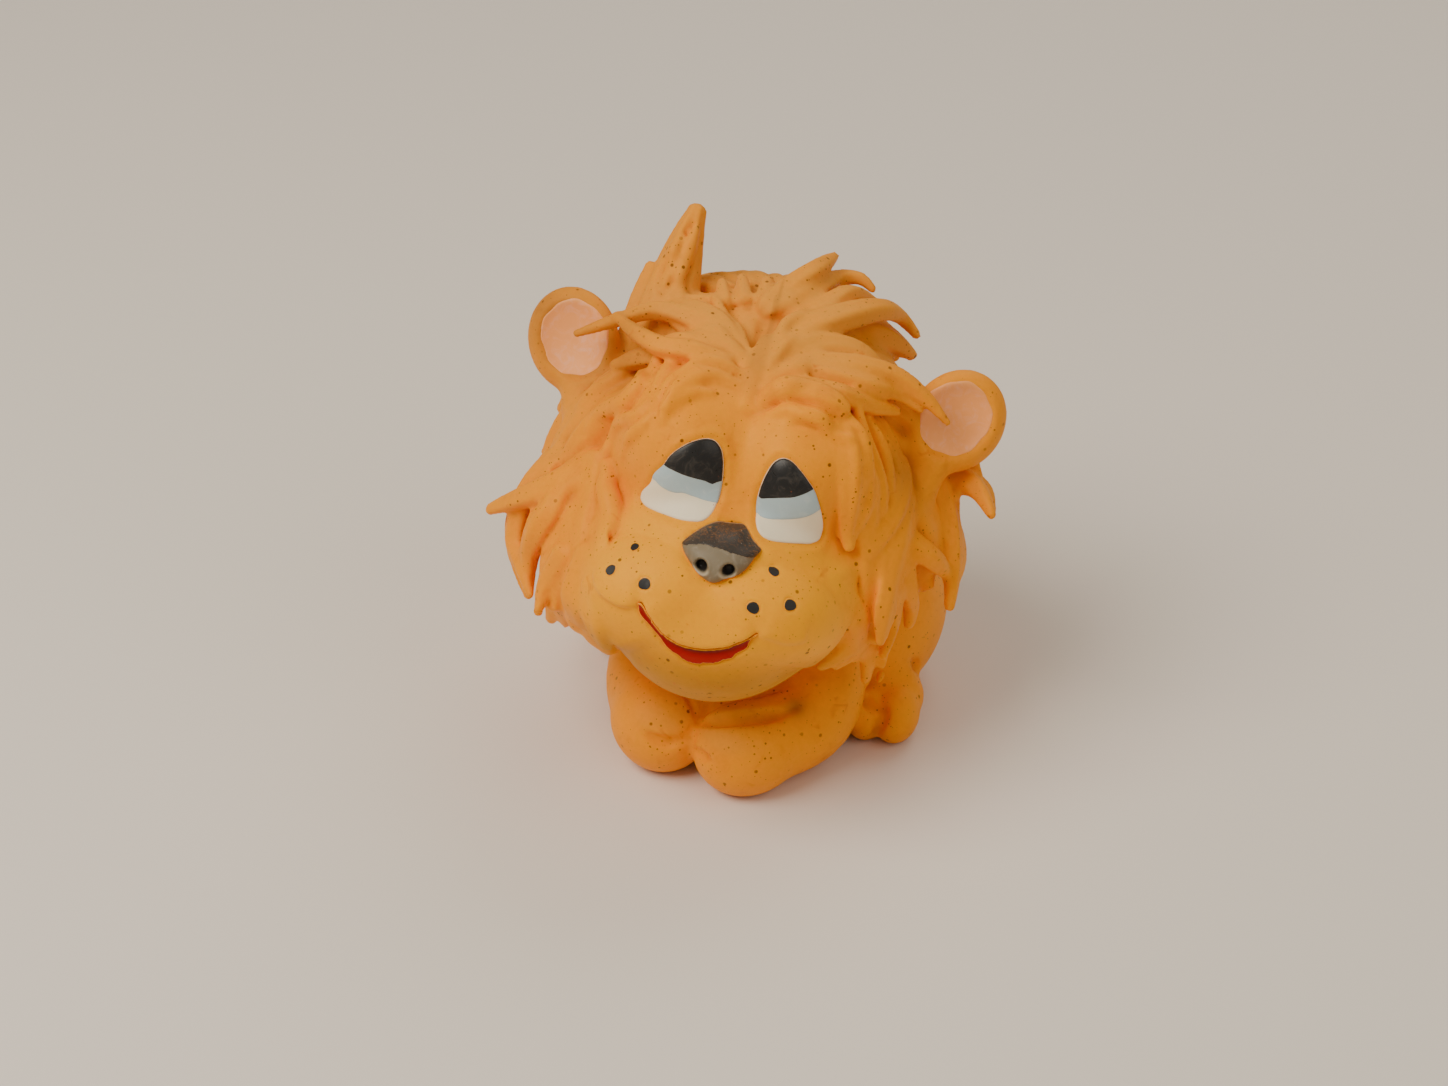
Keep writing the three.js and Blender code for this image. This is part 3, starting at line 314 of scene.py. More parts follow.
ROLLS = [
    ([(-26.3, 23.4), (-26, 27.5), (-23.7, 32), (-19.6, 36), (-15.1, 37.8), (-11.3, 37.5)], 1.4),
    ([(-26.7, 26.9), (-27.1, 31.7), (-25.9, 36.7), (-23.2, 41.7), (-18.6, 45), (-11.4, 45.5),
     (-4.2, 43.6)], 1.8),
    ([(-32, 30), (-32, 35.5), (-30.8, 40.5), (-27.8, 45.7), (-21.7, 49.5), (-12.4, 49.7),
     (-3.5, 47.2)], 1.4),
    ([(-36.5, 33.1), (-39.1, 38.8), (-41.2, 45.9), (-36.6, 51.8), (-25, 54.4), (-12.4, 53.3),
     (-3.1, 50)], 1.5),
    ([(-49, 39.4), (-51.9, 46.8), (-46.5, 51.8), (-36.5, 55.7), (-22.1, 56.9), (-10, 54.8),
     (-1.9, 51.4)], 1.8),
    ([(-64.3, 14.4), (-61.2, 19.2), (-53.6, 23.6), (-45.2, 27.5), (-45.4, 31.2), (-50.6, 36.2),
     (-55.2, 39.2)], 1.8),
    ([(-73.9, 16.7), (-70.9, 23.6), (-67.9, 29.9), (-66, 36), (-64, 41.5)], 1.5),
    ([(-49, 6), (-46.4, 1.7), (-44.1, -3.6), (-40, -7), (-35.4, -10), (-31, -12.6)], 1.9),
    ([(-52.5, 8.9), (-54.1, 14.2), (-46.7, 19.6), (-37.5, 23), (-35.2, 26.7), (-36.8, 32.1)], 1.4),
    ([(-41.7, 9.5), (-38.9, 14.9), (-34.1, 19.6), (-31.2, 23.4), (-31.3, 27.5)], 1.2),
    ([(3.6, 45.7), (11, 51.8), (24, 56.5), (41.6, 58.8), (58.5, 56.7), (70.4, 51.6)], 2.2),
    ([(4.5, 40.8), (10.8, 43), (18.2, 42.9), (24.6, 41.2), (29.5, 39.2), (33.1, 37.3)], 2.5),
    ([(6.3, 35.6), (12.8, 36.7), (20, 34.8), (26.2, 31.8), (32, 29.6), (35.7, 25.4)], 1.5),
    ([(2.7, 49.8), (7.1, 57.5), (18.1, 64.5), (39.7, 69.1), (65.5, 69.3), (96.5, 64.4)], 1.2),
    ([(2.6, 55.7), (7.7, 64.9), (23.2, 72.8), (63.1, 77.1), (114.1, 71.6)], 1.1),
    ([(-4.4, 57), (-26.1, 67.7), (-59.8, 71.3), (-102.1, 66.8)], 1.1),
    ([(-6.4, 52.4), (-29.4, 60.4), (-54.7, 59.1), (-74.5, 51)], 1.1),
    ([(-4.1, 50.5), (-18.5, 56), (-36.4, 55), (-52.1, 49.9), (-63.8, 42.3), (-73.4, 29.7),
     (-80, 17.5)], 1.3),
    ([(36, 36), (41, 27), (44, 17), (45, 8), (43.5, 0)], 1.5),
    ([(42, 38), (48, 28), (51, 16), (52, 4), (50, -5)], 1.6),
    ([(50, 40), (57, 26), (59, 12), (57, -2), (55, -12)], 1.5),
]

# Rolls, and grooves where the radius is negative, that follow the crown's spike: azimuth, elevation
# and height over the head near each point, and the radius

SPIKE_LINES = [
    ([(-89.4, 67.7, 15.5), (-88.2, 65.6, 12.1), (-86.6, 62.9, 8.7), (-85.2, 59.4, 5.5),
     (-84, 57.2, 2.8)], -1.1),
    ([(-88.6, 68.6, 11.9), (-87.5, 66.7, 8.7), (-85.9, 64.1, 5.8), (-84, 62, 2.1)], -1.1),
    ([(-87.1, 61.9, 11.2), (-86.1, 58.7, 8.8), (-85, 56, 6.7), (-84, 54.9, 3.6)], -1.1),
    ([(-88.5, 65.6, 13), (-86.8, 62, 9.9), (-85.7, 58.7, 7.3), (-84.2, 56.1, 3.9)], 1.2),
    ([(-89.3, 68.6, 14.4), (-88, 66.4, 10.3), (-86.2, 63.3, 6.9), (-84.5, 59.8, 3.3)], 1.3),
]

# Ridges, and grooves where the height is negative: the line, the height and the half width

RIDGES = [
    ([(4, 39.5), (0.5, 47.9), (-4, 56.8), (-7.4, 66), (-6, 73), (-18, 79)], -1.3, 1.8),
    ([(-73, -6), (-67.3, -11.5), (-59.9, -12.8), (-51.5, -12), (-42, -9)], -1.1, 1.2),
    ([(-75, 12), (-74, 3), (-71, -5), (-67, -11)], -0.8, 1.0),
    ([(66, 46), (67.2, 34), (71.3, 27), (80, 21), (90, 15)], -1.2, 1.5),
    (MOUTH_LOW, 0.3, 1.6),
]

# Dimples: place, depth and radius. Then the whorl that the mane parts from, and the outline of the
# bare face.

DIMPLES = [((-15, 36), 0.7, 4.5), ((-60, -13), 0.8, 3), ((52, -16), 0.8, 3), ((24, 28.5), 0.5, 3.5)]
WHORL = (1, 47)
FACE = [
    (1, 46), (10, 47), (20, 45), (31, 41), (38, 37), (42, 27), (47, 12), (51, 2), (53, -6),
    (51, -14), (49, -24), (45, -34), (38, -46), (20, -60), (0, -64), (-14, -52), (-24, -42),
    (-31, -31), (-37, -25), (-46, -20), (-52, -14), (-60, -12), (-64, -4), (-58, 8), (-50, 18),
    (-47, 28), (-40, 38), (-30, 46), (-18, 50), (-8, 49),
]

# Locks of the mane: root, tip, lift of the tip, half width, bow sideways, arch outwards, and a
# number that sets how its ridges lie and, where it is a bundle, how far its strands reach. Where a
# group is empty, ROLLS and FINGERS carry its locks.

MANE = {
    "crown_tuft": [
        ((-93, 52), (-103, 68), 15.7, 6.4, 0, 0, 10),
        ((-86, 46), (-92, 60), 9, 4.4, 0, 0, 11),
        ((-84, 70), (-82, 52), 4, 3.8, 0, 0, 12),
    ],
    "forelock_right": [
        ((-22, 60), (-68, 34), 3, 4, 0, 0, 15),
    ],
    "temple_mane_right": [
        ((-58, 30), (-72, 0), 3, 4, 0, 0, 18),
        ((-70, 34), (-80, -4), 4.5, 4.2, 0, 0, 19),
        ((-84, 28), (-92, -2), 5, 4.2, 0, 0, 20),
    ],
    "side_mane_right": [
        ((-55, 4), (-79, -15), 16.2, 3.4, 1.2, 1, 21),
        ((-75, 8), (-76, -36), 13.3, 3.2, -1, 6, 22),
        ((-61, 5), (-70, -35), 12.6, 3.4, -1.3, 3.3, 23),
        ((-84, -16), (-74, -41), 13, 2.4, 0, 1.7, 24),
    ],
    "cheek_mane_right": [
        ((-45, -15), (-73, -44), 11.4, 3.6, 0.6, 0.5, 25),
        ((-38, -20), (-69, -46), 9, 3.4, 0, 1, 26),
    ],
    "forelock_left": [],
    "temple_mane_left": [],
    "cheek_mane_left": [
        ((35, 34), (42, -3), 2, 3.6, -0.6, 0, 37),
        ((44, 24), (49, -9), 1.3, 3.2, 1.2, 0.9, 38),
        ((72, 23), (51, -4), 2.5, 4, 0, 0.9, 39),
        ((81, 5), (62, -29), 5.5, 4.8, 0, -1.6, 40),
        ((75, 0), (74, -37), 10.2, 2.6, -0.6, -0.8, 41),
    ],
    "side_mane_left": [
        ((79, 4), (85, -27), 8.6, 2.6, 0, 0, 42),
        ((80, 5), (88, -10), 9.9, 3.2, 0, 0, 43),
        ((98, 25), (85, -17), 12.9, 3.6, 0, 1.6, 44),
        ((86, 8), (86, -15), 7.6, 1.6, 0, 0.8, 45),
        ((105, 10), (85, 7), 14.6, 3.2, -3.5, 3.6, 46),
        ((110, 35), (95, 14), 10.6, 2.6, -0.7, 3, 47),
    ],
    "beard_left": [
        ((45, -19), (68, -40), 5.5, 3.6, -0.6, 0, 48),
        ((54, -14), (78, -44), 11, 3, 0, 0, 50),
    ],
    "back_mane_right": [
        ((-136, 72), (-132, 46), 4, 6, 0, 0, 51),
        ((-172, 76), (-164, 48), 4, 6, 0, 0, 52),
        ((-120, 36), (-114, 4), 5, 6.6, 0, 0, 53),
        ((-144, 38), (-146, 6), 5, 6.6, 0, 0, 54),
        ((-168, 40), (-170, 8), 5, 6.6, 0, 0, 55),
    ],
    "back_mane_left": [
        ((156, 76), (162, 50), 4, 6, 0, 0, 56),
        ((124, 70), (128, 44), 4, 6, 0, 0, 57),
        ((120, 36), (116, 6), 5, 6.6, 0, 0, 58),
        ((143, 38), (145, 6), 5, 6.6, 0, 0, 59),
        ((166, 40), (168, 8), 5, 6.6, 0, 0, 60),
    ],
    "nape_mane_right": [
        ((-106, 6), (-102, -28), 6, 6.6, 0, 0, 61),
        ((-129, 8), (-125, -26), 5, 6.6, 0, 0, 62),
        ((-153, 10), (-149, -22), 5, 6.6, 0, 0, 63),
    ],
    "nape_mane_left": [
        ((108, 6), (105, -26), 6, 6.6, 0, 0, 64),
        ((131, 8), (127, -26), 5, 6.6, 0, 0, 65),
        ((155, 10), (151, -22), 5, 6.6, 0, 0, 66),
        ((180, 10), (178, -20), 5, 6.6, 0, 0, 67),
    ],
}

# Low strands that only the sculpted skin has, in the same terms

WISPS = [
    ((-42, 40), (-67, 14), 1, 3.2, 1.2, 0.4, 0),
    ((-74, 20), (-71, -8), 0.6, 3.4, 0, 0.4, 1),
    ((-62, 30), (-66, 4), 0.8, 2.6, 1, 0, 2),
    ((60, 56), (84, 30), 2, 3.2, 0, 0, 3),
    ((52, 44), (62, 8), 1, 3, 0.5, 0, 4),
    ((60, 40), (74, 4), 1.4, 3, 0, 0, 5),
    ((58, 10), (58, -24), 1.6, 3, 0, 0, 6),
    ((-92, 38), (-99, 55), 9, 3.4, 0, 0, 7),
    ((-88, 60), (-97, 62), 6, 3, 0, 0, 8),
    ((66, 4), (66, -30), 2.6, 3, 0, 0, 9),
]

# Roots of the locks that stay in one strand

SINGLE = ((45, -19), (54, -14), (35, 34), (44, 24), (-45, -15), (-38, -20), (-84, -16))

# Strands followed point by point: azimuth, elevation and height over the head, the half widths at
# the points, and the thickness as a share of the width

FINGERS = [
    ([(-87.3, -8.5, 2.4), (-85.2, -11.3, 6.3), (-83.5, -13.8, 10.6), (-81.7, -15.9, 16.2)],
     (2.4, 1.9, 1.4, 0.9), 0.9),
    ([(-87.1, -2.6, 4.1), (-84, -11, 7.8), (-81.6, -18.8, 11.3), (-77.7, -23.6, 12.2),
     (-68.6, -28.1, 12.1), (-62.7, -32.8, 11.3)], (2.4, 2.8, 2.8, 2.7, 2.1, 1.3), 0.85),
    ([(-63.9, -4.6, 3), (-60.6, -10.6, 6.5), (-61.9, -16.3, 9), (-66.1, -23.6, 10.5),
     (-66.6, -29.3, 11)], (2.6, 3, 2.8, 2.2, 1.4), 0.85),
    ([(-66.1, -11.1, 1), (-58.3, -18.7, 3.7), (-56.5, -26.8, 5.4), (-53.7, -34.8, 7)],
     (5.4, 5.6, 5, 3.4), 0.5),
    ([(-48.8, -20.3, 4), (-54.6, -29.2, 7.3), (-53.3, -33.5, 10)], (2.6, 2.2, 1.5), 0.8),
    ([(-37.2, -17.9, 0.5), (-37.8, -27.3, 3), (-41.7, -36, 4)], (4, 4, 3), 0.5),
    ([(-29.1, -21.8, 0.2), (-28.9, -30.7, 1.8), (-29.5, -38.4, 2.6)], (3.5, 3.8, 2.6), 0.5),
    ([(-37, -27, 0.4), (-48, -40, 3), (-61, -51, 4.6)], (4, 4.2, 2.6), 0.7),
    ([(-32, -33, 0.2), (-43, -47, 2), (-54, -56, 3)], (4, 4.2, 2.6), 0.7),
    ([(-52.1, 2.6, 0.1), (-43, -8.3, 0.9), (-34.2, -14.9, 0.9), (-30.7, -21.9, 0.6)],
     (3, 3.2, 3, 2.4), 0.4),
    ([(-3, 38, 0), (-1, 48, 0.9), (2, 57, 1.4), (2, 66, 1.6)], (2, 3, 3.4, 3), 0.5),
    ([(70.4, 11, 1), (64.6, -0.9, 2.5), (60.8, -12.3, 4), (56.8, -19, 5.5), (56.1, -26.3, 7)],
     (4, 4.6, 4.8, 4, 1.8), 0.5),
    ([(67.6, -17, 4), (72.8, -27.5, 6.6), (66.3, -32.7, 8.8)], (2.6, 2, 1.3), 0.9),
    ([(70.6, -7.9, 3), (75, -16.5, 5.5), (84.6, -23.3, 7.5), (86.2, -26.9, 8.8)],
     (2.4, 2.2, 1.8, 1.2), 0.9),
    ([(71.6, -2.7, 3.5), (76.5, -5.7, 7), (87.9, -10.6, 9.6)], (2.6, 2.1, 1.3), 0.9),
    ([(85.9, -10.2, 5), (90.9, -15.3, 7.3)], (1.8, 1.1), 0.9),
    ([(78.7, 10.1, 1), (85.2, -2.9, 3.5), (89.8, -15.4, 5.5)], (5, 5.4, 4.6), 0.6),
    ([(99.8, 6.8, 1.9), (96.3, -0.6, 6.3), (93.2, -7.4, 9.6), (91.1, -12.5, 10.9),
     (89, -17.3, 12.6)], (3, 3.4, 3, 2, 1.3), 0.85),
    ([(100.7, 11.4, 3.4), (100.3, 13.5, 7.3), (98.2, 9.8, 11.7), (96.2, 4.9, 13.9)],
     (2, 2.2, 2, 1.2), 0.9),
    ([(22.5, 57.3, 1.2), (39.3, 50.8, 3), (52, 46.3, 5), (67.2, 42.5, 4.8), (72.1, 36.5, 6.2)],
     (2.2, 2.3, 2, 1.6, 1.1), 0.9),
    ([(32.1, 58.1, 1.9), (52, 53.2, 4.5), (65.8, 46.6, 6.5), (72, 38.6, 8.1), (75.1, 30.9, 9.8)],
     (2.2, 2.4, 2.1, 1.7, 1.1), 0.9),
    ([(-42, 62.2, 0.9), (-60.8, 59.3, 2.9), (-71, 53.1, 5), (-70.4, 43, 8.3), (-75, 32.8, 11.2)],
     (2.6, 2.3, 1.9, 1.5, 1.1), 0.9),
    ([(-19.9, 51.7, 0.8), (-34.7, 48.9, 2.4), (-46.4, 45.2, 4.4), (-58.1, 43.8, 7),
     (-69, 43.1, 9.6)], (2.4, 2.5, 2.2, 1.7, 1.1), 0.9),
    ([(-20.9, 60.4, 0.7), (-41.5, 64.8, 2), (-69.1, 61.2, 3), (-81.8, 52.4, 3)],
     (2.2, 2.4, 2, 1.4), 0.8),
    ([(-16.2, 81.7, 0.6), (52.5, 88, 2.6), (115.6, 83.6, 5.6), (148.9, 72.2, 8.6)],
     (3.2, 2.6, 2, 1.4), 0.9),
    ([(23.5, 82.1, 0.8), (99.8, 82.5, 2.6), (142.9, 70, 5), (132.8, 66.8, 7.1),
     (127.5, 63.8, 6.7)], (2.8, 2.6, 2.3, 1.9, 1.3), 0.9),
    ([(35.7, 73.6, 0.8), (73, 76.1, 2.6), (106.2, 72.4, 4.5), (125, 61.6, 5)],
     (2.8, 2.5, 2.1, 1.3), 0.9),
    ([(12.2, 68.4, 0.5), (42.4, 71.4, 2.2), (72.3, 69.5, 4.3), (98.6, 63.7, 6), (117.2, 54.6, 6.3),
     (114, 50.1, 6.3)], (2.8, 3.1, 2.9, 2.4, 2, 1.4), 0.9),
    ([(8, 56.9, 0.4), (32.1, 65.1, 1.6), (57, 61.4, 2.8), (66.4, 55.8, 3), (71.2, 49.7, 2.4)],
     (2.6, 3, 2.8, 2.4, 1.8), 0.8),
    ([(19.6, 48.3, 0.6), (33.6, 43.2, 2), (51.4, 41.3, 3), (66.6, 38.6, 3.4)], (2.2, 2.2, 2, 1.4),
     0.8),
    ([(-60.1, 4.2, 0.6), (-54.8, -6.5, 1.6), (-48.6, -16.7, 2), (-43, -25, 2)], (4.6, 5.2, 5, 4.2),
     0.4),
    ([(42.6, 14, 0.4), (49.9, 1.8, 1.4), (53.4, -10.5, 2), (53.6, -23.6, 2.2)], (3, 3.6, 3.8, 2.6),
     0.5),
    ([(57.5, -25.6, 1), (52.9, -35.5, 1.6), (48.8, -42.3, 1.6)], (3.4, 3, 1.8), 0.6),
    ([(60.9, -27.9, 2.4), (59, -36.4, 3.2), (56, -41.7, 3.4)], (2.8, 2.4, 1.5), 0.7),
    ([(4.5, 40.8, -0.4), (10.8, 43, 0.6), (18.2, 42.9, 1.2), (24.6, 41.2, 1.6), (29.5, 39.2, 1.9),
     (33.1, 37.3, 1.9)], (2, 2.5, 2.8, 2.8, 2.6, 2.1), 0.8),
    ([(-62.1, 78.1, 1), (-113.3, 76.8, 2.5)], (1.8, 1.3), 0.9),
    ([(-42.6, 83.4, 1), (-124.7, 84.1, 2.5)], (2, 1.5), 0.9),
    ([(-69, 72.7, 1), (-97.1, 72.5, 2.5)], (1.8, 1.3), 0.9),
]

# Places on the head near the ear roots where a purplish brown shade is painted, and how far it
# spreads, in degrees

SHADES = [((68, 20), 12), ((-62, 36), 11), ((-84, 30), 10)]

# Groups whose locks are bundles of three strands

BACK_GROUPS = ("back_mane_right", "back_mane_left", "nape_mane_right", "nape_mane_left")

# Lines pressed into the paws, the hind feet, the left haunch and the chest, and their radii, all
# in millimetres

CREASES = [
    ([(-10.5, -35.6, 12), (-7.5, -35.9, 10.9), (-5.7, -35.5, 10.4), (-3.8, -34.3, 10.3),
     (-2, -32.9, 10.7)], 0.75),
    ([(-1.2, -33.8, 9.2), (1.9, -36.3, 10.1), (5, -37.5, 10.4)], 0.65),
    ([(26, -5, 13), (27, -7, 11.5), (28, -9, 8.4), (27.6, -9, 4), (27, -9, 1)], 0.8),
    ([(-22, -5, 13), (-23, -7, 11.5), (-24, -9, 8.4), (-23.6, -9, 4), (-23, -9, 1)], 0.8),
    ([(30, 4, 14), (31, 6, 11), (32, 8, 8)], 0.6),
    ([(-17, -16, 16), (-12.5, -22, 14.5), (-8, -26, 13), (-4, -28.5, 12.5)], 0.8),
    ([(-1.1, -29.8, 12.4), (4.7, -31.4, 14.4), (9.1, -30.2, 15.7), (13.9, -26.8, 16.4),
     (16.4, -23.6, 16.9)], 0.9),
    ([(-1.5, -28.5, 13), (3, -27, 14.5), (8, -24.5, 15), (13, -20, 15.5)], 0.8),
]

# Small drips of fur behind the left elbow: root, tip and radius. Then painted shade along the
# creases of the forelegs: place and radius, and the points that the tail and its tuft run through.

DRIPS = [
    ((21.5, -5.5, 13.2), (19.8, -8.2, 10.2), 1.2),
    ((24, -4.6, 13.8), (23, -6.6, 11.6), 1.0),
    ((26.3, -3.4, 14), (25.6, -5, 12.4), 0.9),
]
CREASE_SHADES = [((16.4, -23.6, 16.9), 2.2), ((-14.5, -21.5, 15.5), 2.6), ((-10, -25, 14.5), 2.2)]
TAIL_PATH = [(0, 39, 10), (-13, 40, 6.5), (-25, 33, 5.5), (-31, 23, 5.5)]
TUFT_PATH = [(-32, 20.5, 6), (-35, 14, 6.8), (-35.5, 6, 6.8), (-33, -1, 5.6)]

# Curves and directions


def unit(v):
    return v / np.linalg.norm(v, axis=-1, keepdims=True)


def directions(places):
    """Unit directions in the head's frame from azimuths and elevations in degrees."""
    a, e = np.moveaxis(np.radians(np.array(places, float)), -1, 0)
    return np.stack([np.sin(a) * np.cos(e), -np.cos(a) * np.cos(e), np.sin(e)], -1)


def spiral(count):
    """Directions spread evenly all round."""
    golden = 2.4
    turn = golden * np.arange(count)
    height = 2 * (np.arange(count) + 0.5) / count - 1
    flat = np.sqrt(1 - height**2)
    return np.stack([np.cos(turn) * flat, np.sin(turn) * flat, height], -1)


def smoothly(low, high, x):
    """0 below low and 1 above high, with a smooth rise between."""
    t = np.clip((x - low) / (high - low), 0, 1)
    return t * t * (3 - 2 * t)


def hump(x, width):
    """1 where x is 0, falling off on both sides over the width."""
    return np.exp(-((x / width) ** 2))


def chord(cosine):
    """How far apart two unit directions are, from their product."""
    return np.sqrt(np.maximum(2 - 2 * cosine, 0))


def curve_through(points, count, closed=False):
    """Evenly spaced points on a smooth curve through the given ones."""
    p = np.array(points, float)
    if closed:
        p = np.concatenate([p[-1:], p, p[:2]])
    else:
        p = np.concatenate([2 * p[:1] - p[1:2], p, 2 * p[-1:] - p[-2:-1]])
    stretches = []
    for a, b, c, d in zip(p[:-3], p[1:-2], p[2:-1], p[3:]):
        gaps = [math.sqrt(np.linalg.norm(end - start)) for start, end in ((a, b), (b, c), (c, d))]
        k0, k1, k2, k3 = 0, gaps[0], gaps[0] + gaps[1], sum(gaps)
        t = np.linspace(k1, k2, 24, endpoint=False)[:, None]
        ab = (k1 - t) / (k1 - k0) * a + (t - k0) / (k1 - k0) * b
        bc = (k2 - t) / (k2 - k1) * b + (t - k1) / (k2 - k1) * c
        cd = (k3 - t) / (k3 - k2) * c + (t - k2) / (k3 - k2) * d
        abc = (k2 - t) / (k2 - k0) * ab + (t - k0) / (k2 - k0) * bc
        bcd = (k3 - t) / (k3 - k1) * bc + (t - k1) / (k3 - k1) * cd
        stretches.append((k2 - t) / (k2 - k1) * abc + (t - k1) / (k2 - k1) * bcd)
    return evenly(np.concatenate([*stretches, p[1:2] if closed else p[-2:-1]]), count, closed)


def evenly(dense, count, closed=False):
    """Points at even distances along a line of many."""
    along = np.concatenate([[0], np.cumsum(np.linalg.norm(np.diff(dense, axis=0), axis=1))])
    wanted = np.linspace(0, along[-1], count, endpoint=not closed)
    return np.stack([np.interp(wanted, along, dense[:, i]) for i in range(dense.shape[1])], -1)


def on_sphere(places, count, closed=False):
    """A smooth line through places on the head, as directions."""
    return unit(curve_through(directions(places), count, closed))


def halves(outline, line=None, count=110):
    """A closed outline as its upper and its lower line, both from the lion's right to its left.

    With a line across the outline, only what lies above that line."""
    ring = curve_through(outline, 4 * count, closed=True)
    if line is None:
        ring = np.roll(ring, -ring[:, 0].argmin(), axis=0)
        turn = ring[:, 0].argmax()
        top, low = ring[: turn + 1], np.concatenate([ring[turn:], ring[:1]])[::-1]
    else:
        across = curve_through(line, 2 * count)
        above = ring[:, 1] > np.interp(ring[:, 0], across[:, 0], across[:, 1])
        start = np.flatnonzero(above & ~np.roll(above, 1))[0]
        top = np.roll(ring, -start, axis=0)[: above.sum()]
        inside = (across[:, 0] > top[0, 0]) & (across[:, 0] < top[-1, 0])
        low = np.concatenate([top[:1], across[inside], top[-1:]])
    return [evenly(side, count) for side in (top, low)]


def split_ring(ring):
    """A ring that starts at its left and runs over its top, as its upper and its lower line."""
    half = len(ring) // 2
    return ring[: half + 1], np.append(ring[half:], ring[:1], axis=0)[::-1]


def chipped(places, amount, seed):
    """A line of places whose points wander up and down by some degrees."""
    t = np.linspace(0, 2 * math.pi, len(places))
    rough = sum(np.sin(n * t + seed * n) / n**0.35 for n in (5, 9, 14, 23, 37))
    shift = amount * rough * np.minimum(1, 6 * np.sin(t / 2))
    return places + np.stack([np.zeros_like(t), shift], -1)


def share_within(edge, u):
    """0 in the middle of a closed outline and 1 at its edge, for each direction."""
    middle = unit(edge.mean(0))
    east = unit(np.cross([0, 0, 1], middle))
    north = np.cross(middle, east)

    def polar(w):
        facing = np.maximum(w @ middle, 0.05)
        x, y = w @ east / facing, w @ north / facing
        return np.arctan2(y, x), np.hypot(x, y)

    turns, radii = polar(edge)
    order = np.argsort(turns)
    turn, radius = polar(u)
    return radius / np.interp(turn, turns[order], radii[order], period=2 * math.pi)


# Surfaces of the blended forms


def reach(at, half, u):
    """How far the ray from the middle along u runs until it leaves an ellipsoid, else 0."""
    ray = u / half
    place = np.array(at) / half
    along = ray @ place
    square = (ray * ray).sum(-1)
    under = along**2 - square * (place @ place - 1)
    return np.where(under > 0, np.maximum((along + np.sqrt(np.maximum(under, 0))) / square, 0), 0)


def blended(forms, sharpness, u):
    """The distance of the forms' joint surface from the middle along each direction."""
    return sum(reach(at, half, u) ** sharpness for at, half in forms) ** (1 / sharpness)


def head_forms(sizes):
    mirror = np.array([-1, 1, 1])
    forms = [(np.zeros(3), in_mm(sizes.skull))]
    for name in ("mane", "muzzle", "chin"):
        forms.append((in_mm(getattr(sizes, name + "_at")), in_mm(getattr(sizes, name))))
    for name in ("lip", "brow"):
        at, half = in_mm(getattr(sizes, name + "_at")), in_mm(getattr(sizes, name))
        forms += [(at, half), (at * mirror, half)]
    return forms


